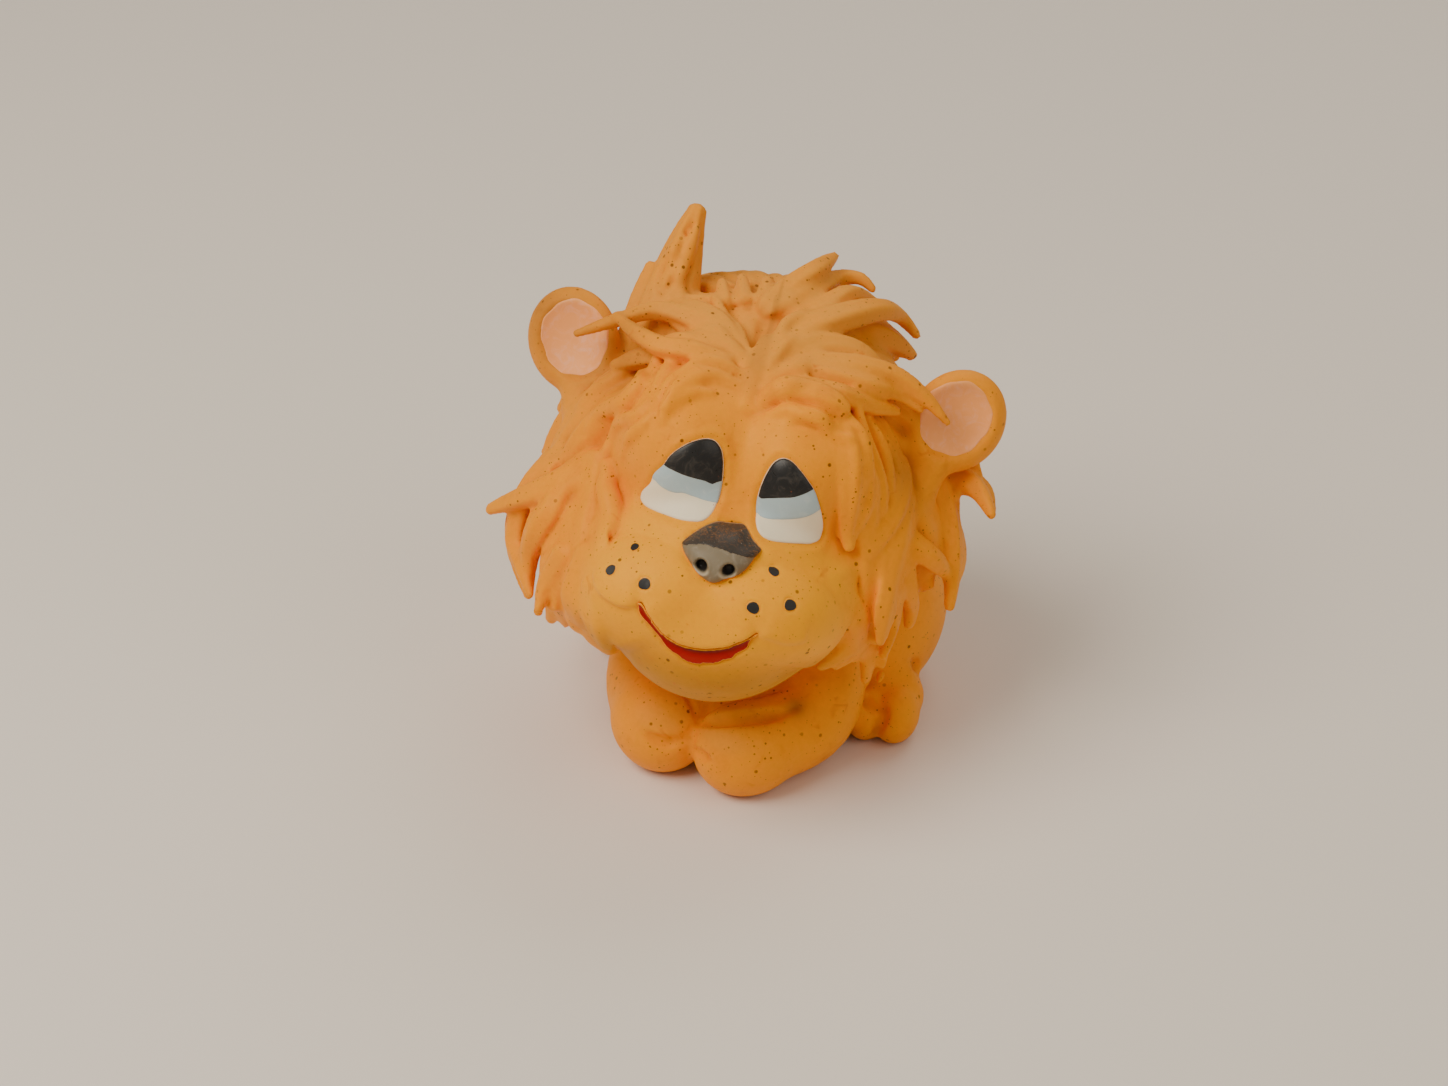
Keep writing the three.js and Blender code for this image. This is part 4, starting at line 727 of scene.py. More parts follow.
class Chart:
    """The head's surface, as its distance from the head's middle in each direction."""

    STEP = 0.5

    def __init__(self, forms, sharpness):
        azimuths = np.arange(-180, 180 + self.STEP, self.STEP)
        elevations = np.arange(-90, 90 + self.STEP, self.STEP)
        self.places = np.stack(np.meshgrid(azimuths, elevations), -1)
        self.u = directions(self.places)
        self.plain = blended(forms, sharpness, self.u)
        self.detailed = self.plain.copy()
        self.sunk = np.zeros_like(self.plain)

    def look(self, values, u):
        x = (np.degrees(np.arctan2(u[..., 0], -u[..., 1])) + 180) / self.STEP
        y = (np.degrees(np.arcsin(np.clip(u[..., 2], -1, 1))) + 90) / self.STEP
        i = np.clip(x.astype(int), 0, values.shape[1] - 2)
        j = np.clip(y.astype(int), 0, values.shape[0] - 2)
        fx, fy = x - i, y - j
        low = values[j, i] * (1 - fx) + values[j, i + 1] * fx
        high = values[j + 1, i] * (1 - fx) + values[j + 1, i + 1] * fx
        return low * (1 - fy) + high * fy

    def smooth_radius(self, u):
        return self.look(self.plain, u)

    def radius(self, u):
        """The outside of the latex and of the paint on it."""
        return self.look(self.detailed, u)

    def share_in(self, outline):
        """0 in the middle of an outline of places and 1 at its edge."""
        return share_within(on_sphere(outline, 160, closed=True), self.u)

    def sink(self, share, depth=0.5):
        """Lets the latex lie lower within an outline, where share is below 1."""
        self.sunk = np.maximum(self.sunk, depth * smoothly(0.98, 0.9, share))

    def along(self, places, margin, change, count=90):
        """Adds change(side, share) near a line: side is the signed distance from it in mm, and
        share runs from 0 to 1 along it."""
        line = on_sphere(places, count)
        middle = unit(line.mean(0))
        span = np.arccos(np.clip(line @ middle, -1, 1)).max() + margin / self.plain.min()
        near = self.u @ middle > math.cos(min(span, math.pi))
        u, r = self.u[near], self.plain[near]
        nearness = u @ line.T
        k = nearness.argmax(1)
        distance = r * chord(nearness.max(1))
        ahead = np.gradient(line, axis=0)
        sideways = unit(np.cross(line, ahead))
        sign = np.sign(((u - line[k]) * sideways[k]).sum(-1))
        share = k / (count - 1)
        self.detailed[near] += np.where(distance < margin, change(sign * distance, share), 0)

    def ridge(self, places, height, width):
        def change(side, share):
            fade = np.minimum(1, 3 * np.sin(math.pi * share))
            return height * fade * hump(side, width)

        self.along(places, 3 * width, change)

    def fold(self, places, height, spread):
        """A step that falls steeply to the line's right and gently to its left."""

        def change(side, share):
            fade = np.minimum(1, 4 * np.sin(math.pi * share))
            bank = hump(np.maximum(side, 0), spread)
            step = height * bank * smoothly(-0.7, 0.5, side)
            crease = 0.3 * height * hump(side + 0.7, 0.8)
            return fade * (step - crease)

        self.along(places, 3 * spread, change)

    def away(self, place):
        """How far each direction is from a place, in millimetres along the surface."""
        return self.plain * chord(self.u @ directions(place))

    def ring(self, place, radius, count=96):
        """Directions of a circle that lies flat on the surface round a place."""
        u = directions(place)[None]
        east = unit(np.cross([0, 0, 1], u))
        north = np.cross(u, east)
        step = 0.02
        right, up = (self.on(u + way * step) - self.on(u - way * step) for way in (east, north))
        right = unit(right)
        up = unit(up - (up * right).sum() * right)
        turn = np.linspace(math.pi, -math.pi, count, endpoint=False)[:, None]
        return unit(self.on(u) + radius * (right * np.cos(turn) + up * np.sin(turn)))

    def on(self, u):
        u = unit(u)
        return u * self.smooth_radius(u)[..., None]

    def comb(self, whorl, bare, depth, count):
        """Grooves that run from the whorl over the mane, outside the outline of the bare face."""
        pole = directions(whorl)
        east = unit(np.cross([0, 0, 1], pole))
        north = np.cross(pole, east)
        far = np.arccos(np.clip(self.u @ pole, -1, 1))
        turn = np.arctan2(self.u @ north, self.u @ east)
        turn += 0.07 * np.sin(3 * turn + 4 * far) + 0.035 * np.sin(7 * turn - 6 * far)
        wide = (1 - np.abs(np.sin(count * turn))) ** 2
        between = (1 - np.abs(np.cos(count * turn))) ** 2 * smoothly(0.4, 0.9, far)
        uneven = 0.65 + 0.35 * np.sin(5 * far + 9 * turn) * np.sin(3 * far - 5 * turn)
        fur = smoothly(0.98, 1.12, self.share_in(bare))
        self.detailed -= depth * fur * uneven * smoothly(0.08, 0.3, far) * (wide + between)


def head_chart(sizes):
    """The head's surface with the folds, lids, lips and nose that are moulded into it."""
    chart = Chart(head_forms(sizes), sizes.blend)
    chart.comb(WHORL, FACE, in_mm(sizes.comb), 14)
    for line, height, spread in FOLDS:
        chart.fold(line, height, spread)
    for line, height, width in RIDGES:
        chart.ridge(line, height, width)
    for place, depth, radius in DIMPLES:
        chart.detailed -= depth * hump(chart.away(place), radius)

    # The upper lip hangs over the mouth.
    chart.fold(MOUTH_TOP, 1.1, 4.5)
    across, up = chart.places[..., 0], chart.places[..., 1]
    top, low = (curve_through(line, 200) for line in (MOUTH_TOP, MOUTH_LOW))
    within = np.minimum(np.interp(across, *top.T) - up, up - np.interp(across, *low.T))
    within = np.where((across > top[0, 0]) & (across < top[-1, 0]), within, -9)
    chart.detailed -= 0.35 * smoothly(-0.6, 0.8, within)
    chart.sunk = np.maximum(chart.sunk, 0.8 * smoothly(-0.7, 0.1, within))

    for name, _ in SIDES:
        eye = chart.share_in(EYES[name]["edge"])
        mound = in_mm(sizes.eye_bulge) * np.maximum(1 - eye**2.5, 0)
        lid = 0.35 * hump(eye - 1.14, 0.1) - 0.3 * hump(eye - 1.03, 0.05)
        chart.detailed += mound + lid
        chart.sink(eye)
    nose = chart.share_in(NOSE)
    chart.detailed += in_mm(sizes.nose_bulge) * np.maximum(1 - nose**2.6, 0)
    chart.detailed -= 0.35 * hump(nose - 1.05, 0.09)
    chart.sink(nose, 2.4)
    for place in NOSTRILS:
        away = chart.away(place) / in_mm(sizes.nostril)
        chart.detailed += 0.3 * hump(away - 1.25, 0.3) - 1.9 * np.exp(-(away**4))
    for spots in SPOTS.values():
        for place, radius in spots:
            spot = share_within(chart.ring(place, radius), chart.u)
            chart.detailed += 0.16 * hump(spot - 1.25, 0.2)
            chart.detailed -= 0.14 * (1 - smoothly(0.8, 1.1, spot))
            chart.sink(spot)
    return chart


def head_matrix(sizes):
    """From the head's frame to the part's, both in millimetres."""
    turn = Matrix.Rotation(sizes.yaw, 4, "Z") @ Matrix.Rotation(sizes.pitch, 4, "X")
    turn = turn @ Matrix.Rotation(sizes.roll, 4, "Y")
    return Matrix.Translation(in_mm(sizes.at)) @ turn


def moved(points, matrix):
    m = np.array(matrix)
    return points @ m[:3, :3].T + m[:3, 3]


# Shaping in clay: a block of cells that holds how far each lies outside the surface

# Two corners of each block, in millimetres

BLOCKS = {
    "head": ((-58, -50, -48), (58, 52, 62)),
    "body": ((-44, -44, -2), (44, 50, 48)),
    "fibre": ((-38, -44, -38), (38, 44, 42)),
}

# How softly a form meets what it is laid on or carved from, in millimetres

BLENDS = {
    "strand": 0.9, "roll": 0.5, "ear": 1.6, "ear hollow": 0.8, "torso": 1.0, "breast": 3.0,
    "thigh": 2.4, "foot": 2.6, "foreleg": 1.6, "tail": 1.2, "drip": 0.5, "belly's flat": 0.8,
    "port": 0.2, "fibre": 0.5, "tuft": 2.0,
}

# How deep the ridges on a strand are, how far over the head a roll is before it settles on it, and
# the head's radius by and large, in millimetres

RIDGE_DEPTH, ROLL_RISE, HEAD_RADIUS = 0.5, 1.5, 34

# How far each paint stands out from the latex, in millimetres

PROUD = {
    "eye_white": 0.18, "eye_iris": 0.28, "eye_pupil": 0.40, "nose": 0.18, "nose_top": 0.36,
    "mouth": 0.32, "whisker_spot": 0.14, "ear_lining": 0.16,
}


def cell_size(sizes):
    coarser = 1
    return in_mm(sizes.cell) * coarser


def soft_min(a, b, blend):
    """The lesser of two distances, with their meeting rounded."""
    h = np.maximum(blend - np.abs(a - b), 0) / blend
    return np.minimum(a, b) - h * h * blend / 4


class Clay:
    """A block of small cells, each holding its distance outside the shape in millimetres."""

    def __init__(self, low, high, cell):
        self.cell = cell
        self.low = np.array(low, float)
        self.shape = tuple(np.ceil((np.array(high) - self.low) / cell).astype(int) + 1)
        self.field = np.full(self.shape, 50, np.float32)

    def window(self, low, high):
        """The slices of the block between two corners, and the places of their cells."""
        start = np.floor((np.array(low) - self.low) / self.cell)
        stop = np.ceil((np.array(high) - self.low) / self.cell) + 1
        start, stop = (np.clip(end, 0, self.shape).astype(int) for end in (start, stop))
        axes = [self.low[i] + self.cell * np.arange(start[i], stop[i]) for i in range(3)]
        points = np.stack(np.meshgrid(*axes, indexing="ij"), -1).astype(np.float32)
        return tuple(slice(a, b) for a, b in zip(start, stop)), points

    def fill(self, distance):
        slab = 12
        for start in range(0, self.shape[0], slab):
            low = self.low + [self.cell * start, 0, 0]
            high = self.low + self.cell * (np.array(self.shape) - 1)
            high[0] = min(high[0], low[0] + self.cell * (slab - 1))
            where, points = self.window(low + 1e-6, high - 1e-6)
            self.field[where] = distance(points)

    def add(self, form, blend):
        where, points = self.window(form.low - blend, form.high + blend)
        self.field[where] = soft_min(self.field[where], form.distance(points), blend)

    def carve(self, form, blend):
        where, points = self.window(form.low - blend, form.high + blend)
        self.field[where] = -soft_min(-self.field[where], form.distance(points), blend)

    def settled(self, points):
        """Points moved onto the surface."""
        p = np.array(points, float)
        for _ in range(15):
            i = np.round((p - self.low) / self.cell).astype(int)
            i = np.clip(i, 1, np.array(self.shape) - 2)
            rise = [
                self.field[tuple((i + step).T)] - self.field[tuple((i - step).T)]
                for step in np.eye(3, dtype=int)
            ]
            slope = np.stack(rise, -1) + 1e-6
            p -= 0.6 * unit(slope) * self.field[tuple(i.T)][:, None]
        return p

    def surface(self):
        """The points and the four-sided faces of the shape's surface."""
        band = 3 * self.cell
        grid = openvdb.FloatGrid(band)
        grid.copyFromArray(np.clip(self.field, -band, band))
        points, quads = grid.convertToQuads(0.0)
        return points.astype(float) * self.cell + self.low, quads


class Form:
    """A shape by its box and the distance of points from it."""

    def __init__(self, low, high, distance):
        self.low, self.high, self.distance = np.array(low, float), np.array(high, float), distance


def joined(forms, blend):
    """Several forms as one, with their meetings rounded."""

    def distance(points):
        total = forms[0].distance(points)
        for form in forms[1:]:
            total = soft_min(total, form.distance(points), blend)
        return total

    low = np.min([form.low for form in forms], axis=0)
    high = np.max([form.high for form in forms], axis=0)
    return Form(low, high, distance)


def ellipsoid(at, half, turn=None):
    at, half = np.array(at, float), np.array(half, float)
    axes = np.eye(3) if turn is None else np.array(turn)

    def distance(points):
        q = (points - at) @ axes / half
        k = np.sqrt((q * q).sum(-1)) + 1e-6
        slope = np.sqrt(((q / half) ** 2).sum(-1)) + 1e-6
        return k * (k - 1) / slope

    reachable = np.abs(axes) @ half
    return Form(at - reachable, at + reachable, distance)


def radial(at, forms, sharpness, reachable, turn=0.0):
    """The blended surface of forms round a middle, turned about the upright axis."""
    at = np.array(at, float)
    c, s = math.cos(turn), math.sin(turn)
    axes = np.array([[c, -s, 0], [s, c, 0], [0, 0, 1]])

    def distance(points):
        q = (points - at) @ axes
        r = np.linalg.norm(q, axis=-1) + 1e-6
        return (r - blended(forms, sharpness, q / r[..., None])) * 0.9

    return Form(at - reachable, at + reachable, distance)


def strand(path, side, wide, thick, ridges=0, depth=0.0, phase=0.0):
    """A strand along a path: wide and thick are its half sizes across and outwards at each point,
    and ridges run along it."""
    along = unit(np.gradient(path, axis=0))
    side = unit(side - (side * along).sum(-1, keepdims=True) * along)
    up = np.cross(side, along)
    table = np.concatenate([path, side, up, wide[:, None], thick[:, None]], 1).astype(np.float32)

    def distance(points):
        flat = points.reshape(-1, 3)
        nearest = np.full(len(flat), np.inf, np.float32)
        where = np.zeros(len(flat), np.float32)
        for i, (a, b) in enumerate(zip(path[:-1].astype(np.float32), path[1:].astype(np.float32))):
            stretch = b - a
            offset = flat - a
            s = np.clip(offset @ stretch / (stretch @ stretch), 0, 1)
            gap = offset - s[:, None] * stretch
            square = (gap * gap).sum(-1)
            closer = square < nearest
            nearest[closer] = square[closer]
            where[closer] = i + s[closer]
        i = np.minimum(where.astype(int), len(path) - 2)
        f = (where - i)[:, None]
        here = table[i] * (1 - f) + table[i + 1] * f
        offset = flat - here[:, :3]
        across, out = (offset * here[:, 3:6]).sum(-1), (offset * here[:, 6:9]).sum(-1)
        ahead = np.sqrt(np.maximum((offset * offset).sum(-1) - across**2 - out**2, 0))
        a, b = here[:, 9], here[:, 10]
        q = np.sqrt((across / a) ** 2 + (out / b) ** 2 + (ahead / b) ** 2)
        total = (q - 1) * np.minimum(a, b)
        if ridges:
            turn = np.arctan2(out / b, across / a)
            total += depth * np.minimum(1, a / 3) * (0.3 + np.cos(ridges * turn + phase)) / 2
        return total.reshape(points.shape[:-1])

    margin = max(wide.max(), thick.max())
    return Form(path.min(0) - margin, path.max(0) + margin, distance)


def tube(points, radii, count=16):
    """A round tube through a few points, with a radius for each."""
    path = curve_through(points, count)
    radius = np.interp(np.linspace(0, len(radii) - 1, count), np.arange(len(radii)), radii)
    radius[1:-1] = (radius[:-2] + radius[1:-1] + radius[2:]) / 3
    side = np.tile([0.0, 0.0, 1.0], (count, 1))
    return strand(path, side, radius, radius)


# Meshes


def make_object(name, points, faces):
    """A mesh object from points in the part's frame, in millimetres."""
    mesh = bpy.data.meshes.new(name)
    mesh.from_pydata(np.asarray(points) * MM, [], faces.tolist())
    mesh.polygons.foreach_set("use_smooth", np.full(len(mesh.polygons), True))
    mesh.update()
    made = bpy.data.objects.new(name, mesh)
    bpy.context.scene.collection.objects.link(made)
    return made


def edges_of(quads):
    pairs = np.concatenate([quads[:, [i, (i + 1) % 4]] for i in range(4)])
    return np.unique(np.sort(pairs, axis=1), axis=0)


def averaged(values, edges, times):
    """Evens values out over neighbouring points."""
    count = len(values)
    degree = np.bincount(edges.ravel(), minlength=count)[:, None]
    columns = values.reshape(count, -1).astype(float)
    for _ in range(times):
        around = [
            np.bincount(edges[:, 0], column[edges[:, 1]], count)
            + np.bincount(edges[:, 1], column[edges[:, 0]], count)
            for column in columns.T
        ]
        columns = (columns + np.stack(around, 1) / degree) / 2
    return columns.reshape(values.shape)


def normals_of(points, quads):
    a, b, c, d = (points[quads[:, i]] for i in range(4))
    flat = np.cross(c - a, d - b)
    total = np.zeros_like(points)
    for i in range(4):
        for axis in range(3):
            total[:, axis] += np.bincount(quads[:, i], flat[:, axis], len(points))
    return unit(total)


def hollowness(points, normals, edges, times):
    """How far each point lies under its smoothed surroundings, in millimetres."""
    return ((averaged(points, edges, times) - points) * normals).sum(-1)


def set_marks(made, **marks):
    """Keeps numbers per point on a mesh, for its material."""
    for name, values in marks.items():
        mark = made.data.attributes.new(name, "FLOAT", "POINT")
        mark.data.foreach_set("value", np.clip(values, 0, 1).astype(np.float32))


# Materials


class Wire:
    """A value in a material's node tree, so that sums on it read as Python."""

    def __init__(self, paint, socket):
        self.paint, self.socket = paint, socket

    def maths(self, operation, *values):
        return self.paint.node("ShaderNodeMath", {"operation": operation}, dict(enumerate(values)))

    def __add__(self, other):
        return self.maths("ADD", self, other)

    def __sub__(self, other):
        return self.maths("SUBTRACT", self, other)

    def __rsub__(self, other):
        return self.maths("SUBTRACT", other, self)

    def __mul__(self, other):
        return self.maths("MULTIPLY", self, other)

    __radd__ = __add__
    __rmul__ = __mul__

    def bounded(self):
        return self.paint.node("ShaderNodeClamp", {}, {0: self})

    def over(self, low, high):
        """0 below low and 1 above high, with a smooth rise between."""
        settings = {"interpolation_type": "SMOOTHSTEP"}
        return self.paint.node("ShaderNodeMapRange", settings, {0: self, 1: low, 2: high})

    def under(self, low, high):
        return 1 - self.over(low, high)


class Paint:
    """A material whose nodes are written as expressions."""

    def __init__(self, name):
        self.material = bpy.data.materials.new(name)
        self.material.use_nodes = True
        self.material.node_tree.nodes.clear()
        self.place = self.node("ShaderNodeTexCoord", result="Object")

    def node(self, kind, settings=None, sockets=None, result=0):
        tree = self.material.node_tree
        made = tree.nodes.new(kind)
        for key, value in (settings or {}).items():
            setattr(made, key, value)
        for key, value in (sockets or {}).items():
            if isinstance(value, Wire):
                tree.links.new(value.socket, made.inputs[key])
            else:
                made.inputs[key].default_value = value
        return Wire(self, made.outputs[result]) if len(made.outputs) else None

    def mark(self, name):
        return self.node("ShaderNodeAttribute", {"attribute_name": name}, result="Fac")

    def noise(self, size, detail=3.0, roughness=0.55, distortion=0.0):
        """Soft noise with features of about size millimetres."""
        sockets = {
            "Vector": self.place,
            "Scale": 1 / (size * MM),
            "Detail": detail,
            "Roughness": roughness,
            "Distortion": distortion,
        }
        return self.node("ShaderNodeTexNoise", {}, sockets)

    def specks(self, spacing, radius, share):
        """Round specks on a share of the cells of a loose pattern, in millimetres."""
        sockets = {"Vector": self.place, "Scale": 1 / (spacing * MM)}
        distance = self.node("ShaderNodeTexVoronoi", {}, sockets, result="Distance")
        tint = self.node("ShaderNodeTexVoronoi", {}, sockets, result="Color")
        pick = self.node("ShaderNodeSeparateColor", {}, {0: tint})
        size = radius / spacing
        return distance.under(size * 0.6, size * 1.2) * pick.over(1 - share, 1 - share + 0.02)

    def mix(self, factor, below, above):
        """The colour below where the factor is 0, and the one above where it is 1."""
        ends = [value if isinstance(value, Wire) else (*value, 1) for value in (below, above)]
        sockets = {0: factor, 6: ends[0], 7: ends[1]}
        return self.node("ShaderNodeMix", {"data_type": "RGBA"}, sockets, result=2)

    def lit(self, value, colour):
        """A colour that is lighter or darker from place to place."""
        return self.node("ShaderNodeHueSaturation", {}, {"Value": value, "Color": colour})

    def bump(self, height, strength, distance):
        sockets = {"Height": height, "Strength": strength, "Distance": distance * MM}
        return self.node("ShaderNodeBump", {}, sockets)

    def finish(self, base, roughness, normal, soft=0.0, shine=0.5, tint=(1, 1, 1)):
        sockets = {
            "Base Color": base,
            "Roughness": roughness,
            "Normal": normal,
            "Subsurface Weight": soft,
            "Subsurface Radius": (1.0, 0.45, 0.2),
            "Subsurface Scale": 2.5 * MM,
            "Specular IOR Level": shine,
            "Specular Tint": (*tint, 1),
        }
        shader = self.node("ShaderNodeBsdfPrincipled", {}, sockets)
        self.node("ShaderNodeOutputMaterial", {}, {"Surface": shader})
        return self.material


def latex_finish(colours):
    """Satin latex: orange and pale zones, a dull yellow chin, a tan coat, rust and specks, and
    painted
    light and shade: deeper orange in creases, brown in grooves, paler tops on the body.
    """
    paint = Paint("satin latex")
    broad = paint.noise(14, 2)
    cloudy = paint.noise(5, 4, 0.6, 0.6)
    grain = paint.noise(0.9, 3)
    recess, pale, ochre = paint.mark("recess"), paint.mark("pale"), paint.mark("ochre")
    coat, smudge = paint.mark("coat"), paint.mark("smudge")
    base = colours.orange
    # The pale share is partly painted light on the body's upper faces, the chin's share partly
    # painted shade, the tan share partly painted shade on the breast, and the recess and brown
    # shares painted shade.
    for share, colour_over in (
        (pale * (0.75 + 0.5 * broad), colours.pale),
        (ochre * (0.7 + 0.5 * cloudy), colours.ochre),
        (cloudy.over(0.52, 0.78) * 0.4 * (1 - pale * 0.6), colours.deep),
        (coat * (0.55 + 0.75 * cloudy), colours.tan),
        (recess * (0.75 + 0.4 * cloudy), colours.deep),
        (smudge * (0.5 + 0.7 * cloudy), colours.shade_umber),
        (paint.noise(3.2, 3, 0.5, 0.8).over(0.66, 0.80) * 0.5, colours.rust),
    ):
        base = paint.mix(share.bounded(), base, colour_over)
    marks = paint.specks(1.6, 0.22, 0.55) + paint.specks(1.0, 0.13, 0.5)
    marks = marks + paint.specks(2.8, 0.40, 0.5)
    crowd = paint.noise(9, 2).over(0.40, 0.60)
    specks = (marks * (0.4 + 0.6 * crowd)).bounded()
    base = paint.mix(specks * 0.85, base, colours.speck)
    light = paint.lit(0.93 + 0.14 * grain, base)
    roughness = 0.40 + 0.16 * cloudy + 0.10 * coat + 0.05 * grain
    relief = grain * 0.5 + cloudy * 0.8 - specks * 0.9
    return paint.finish(light, roughness, paint.bump(relief, 0.35, 0.16), 0.15, 0.3, (1, 0.6, 0.25))


def paint_finish(
    name, body, worn, wear=0.0, specks=0.0, roughness=0.38, rim=None, top=None, nostrils=False
):
    """Paint on latex: its body colour, worn patches, specks, a thin line of another colour at its
    edge, and another one along its upper line, which on the mouth is a painted shadow of the upper
    lip."""
    paint = Paint(name)
    cloudy = paint.noise(2.6, 4, 0.62, 1.4)
    grain = paint.noise(0.5, 3)
    rubbed = (cloudy.over(0.62 - 0.3 * wear, 0.86 - 0.25 * wear) * wear).bounded()
    base = paint.mix(rubbed, body, worn)
    # Along the upper line: on the mouth, painted shadow of the upper lip that hangs over it
    if top:
        base = paint.mix((paint.mark("down") + 0.2 * grain).under(0.15, 0.6), base, top)
    if specks:
        base = paint.mix(paint.specks(1.7, 0.17, specks) * 0.8, base, (0.26, 0.07, 0.02))
    # On a nose: a painted highlight on the lower rim of each nostril, and near-black within it
    if nostrils:
        base = paint.mix(paint.mark("light") * 0.7, base, (0.62, 0.52, 0.36))
        base = paint.mix(paint.mark("deep"), base, (0.012, 0.01, 0.009))
    if rim:
        base = paint.mix((paint.mark("edge") + 0.12 * grain).under(0.16, 0.24), base, rim)
    light = paint.lit(0.94 + 0.12 * cloudy, base)
    relief = grain * 0.4 + cloudy * 0.4
    rough = roughness + 0.16 * cloudy + 0.1 * rubbed
    return paint.finish(light, rough, paint.bump(relief, 0.25, 0.08), soft=0.05, shine=0.28)


def worn_black_finish(name, brown):
    """Black paint that is rubbed to brown streaks towards its upper line, with pale specks."""
    paint = Paint(name)
    streaks = paint.noise(1.6, 5, 0.7, 3.0)
    grain = paint.noise(0.35, 3)
    upper = paint.mark("down").under(0.25, 0.95)
    worn = (streaks.over(0.46, 0.70) * (0.1 + upper * 0.6)).bounded()
    base = paint.mix(worn, (0.05, 0.042, 0.034), brown)
    base = paint.mix(streaks.over(0.62, 0.74) * upper * 0.7, base, (0.62, 0.24, 0.03))
    base = paint.mix(grain.over(0.66, 0.74) * 0.55, base, (0.55, 0.50, 0.42))
    edge = (paint.mark("edge") + 0.15 * grain).under(0.14, 0.22)
    base = paint.mix(edge, base, (0.40, 0.26, 0.14))
    relief = grain * 0.6 + worn * 0.6
    rough = 0.34 + 0.22 * worn
    return paint.finish(base, rough, paint.bump(relief, 0.35, 0.1), soft=0.03, shine=0.3)


def fibre_finish(colours):
    paint = Paint("polyester fibre")
    hairs = paint.noise(0.7, 5, 0.7, 4.0)
    lumps = paint.noise(6, 2)
    base = paint.mix(hairs.over(0.35, 0.7), colours.fibre, (0.62, 0.61, 0.58))
    return paint.finish(base, 0.85 + 0.1 * lumps, paint.bump(hairs + lumps, 0.8, 0.5), shine=0.2)


def plastic_finish(colours):
    paint = Paint("white moulded plastic")
    cloudy = paint.noise(4, 3)
    grain = paint.noise(0.25, 2)
    base = paint.mix(cloudy.over(0.3, 0.75) * 0.35, colours.plastic, (0.66, 0.64, 0.57))
    return paint.finish(base, 0.32 + 0.12 * cloudy, paint.bump(grain, 0.15, 0.03), soft=0.1)


def floor_finish(colours):
    paint = Paint("pale floor")
    cloudy = paint.noise(60, 2)
    grain = paint.noise(0.8, 2)
    base = paint.mix(cloudy * 0.06, colours.floor, (0.7, 0.68, 0.64))
    return paint.finish(base, 0.7 + 0.05 * cloudy, paint.bump(grain, 0.05, 0.05))


def wear(made, material):
    made.data.materials.clear()
    made.data.materials.append(material)


# Pieces


def lock_strands(chart, lock, bundled):
    """One lock as strands: itself and two thinner ones along its root, or a bundle of three."""
    root, tip, lift, half, bow, arch, seed = lock
    start, end = directions(root), directions(tip)
    across = unit(np.cross(start, end))
    made = []
    if bundled:
        for k, sign in enumerate((-1, 0, 1)):
            shift = across * sign * half * 0.58 / HEAD_RADIUS
            short = 0.12 * math.sin(2.1 * seed + 2 * k)
            a, b = unit(start + shift), unit(end + shift * 0.8 + (start - end) * short)
            high = lift * (0.8 + 0.25 * math.sin(seed + 2.6 * k))
            made.append(lock_strand(chart, a, b, high, half * 0.68, bow, arch, seed + 0.7 * k))
        return made
    merge = 0.62
    for sign in () if root in SINGLE else (-1, 1):
        shift = sign * half / HEAD_RADIUS
        a = unit(start + across * shift * 0.8)
        b = unit(start * (1 - merge) + end * merge + across * shift * 0.3)
        high = lift * merge**1.5 - 0.4
        made.append(lock_strand(chart, a, b, high, half * 0.62, bow * 0.8, arch * 0.8, seed + sign))
    return [*made, lock_strand(chart, start, end, lift, half, bow, arch, seed)]


def lock_strand(chart, start, end, lift, half, bow, arch, seed):
    """A strand that leaves the head at its root and tapers to a round tip like a finger."""
    steps, sunk, thinnest = 15, 1.5, 1.05
    t = np.linspace(0, 1, steps)[:, None]
    across = unit(np.cross(start, end))
    sweep = math.acos(np.clip(start @ end, -1, 1))
    u = start * np.cos(sweep * t) + np.cross(across, start) * np.sin(sweep * t)
    height = sunk * (t - 1) + lift * t**1.5 + arch * np.sin(math.pi * t)
    path = u * (chart.smooth_radius(u)[:, None] + height)
    path += across * bow * np.sin(math.pi * t)
    wide = half * np.minimum(1, 0.75 + 1.3 * t) * (1 - 0.66 * t**2)
    wide = np.maximum(wide, thinnest)[:, 0]
    side = np.tile(across, (steps, 1))
    ridges = 6 if half > 3.5 else 4
    return strand(path, side, wide, wide * 0.9, ridges, RIDGE_DEPTH, seed * 2.4)


def ear_matrix(chart, sizes, side):
    """From an ear's frame, whose front is -Y, to the head's."""
    u = directions((side * 88, 30))
    at = u * (chart.smooth_radius(u) + in_mm(sizes.ear_out))
    splay = Matrix.Rotation(side * sizes.ear_splay, 4, "Z")
    lean = Matrix.Rotation(side * sizes.ear_lean, 4, "Y")
    return Matrix.Translation(at) @ (splay @ lean)


def ear_forms(chart, sizes, side):
    """An ear as a thick cupped disc, its hollow, and the flare where it grows out of the head."""
    place = ear_matrix(chart, sizes, side)
    turn = np.array(place.to_3x3())
    half, dish = in_mm(sizes.ear), in_mm(sizes.ear_dish)
    middle = np.array(place.translation)
    disc = ellipsoid(middle, half, turn)
    front = moved(np.array([side * -1.1, -half[1] * 0.95, 0.3]), place)
    hollow = ellipsoid(front, (half[0] * 0.8, dish, half[2] * 0.78), turn)
    u = unit(middle)
    foot = u * (chart.smooth_radius(u) - 1)
    base = foot + np.array([0, 1.5, -1.5])
    flare = tube([base, (base + middle) / 2, middle + [0, 1, 0]], [6.5, 5.0, 3.0])
    low = directions((side * 80, 8))
    low = low * chart.smooth_radius(low)
    web = moved(np.array([side * -1.5, 0.5, -half[2] * 0.62]), place)
    web = tube([web, (web + low) / 2 + unit(low), low], [3.2, 3.4, 3.0])
    return joined([disc, flare, web], 3.0), hollow


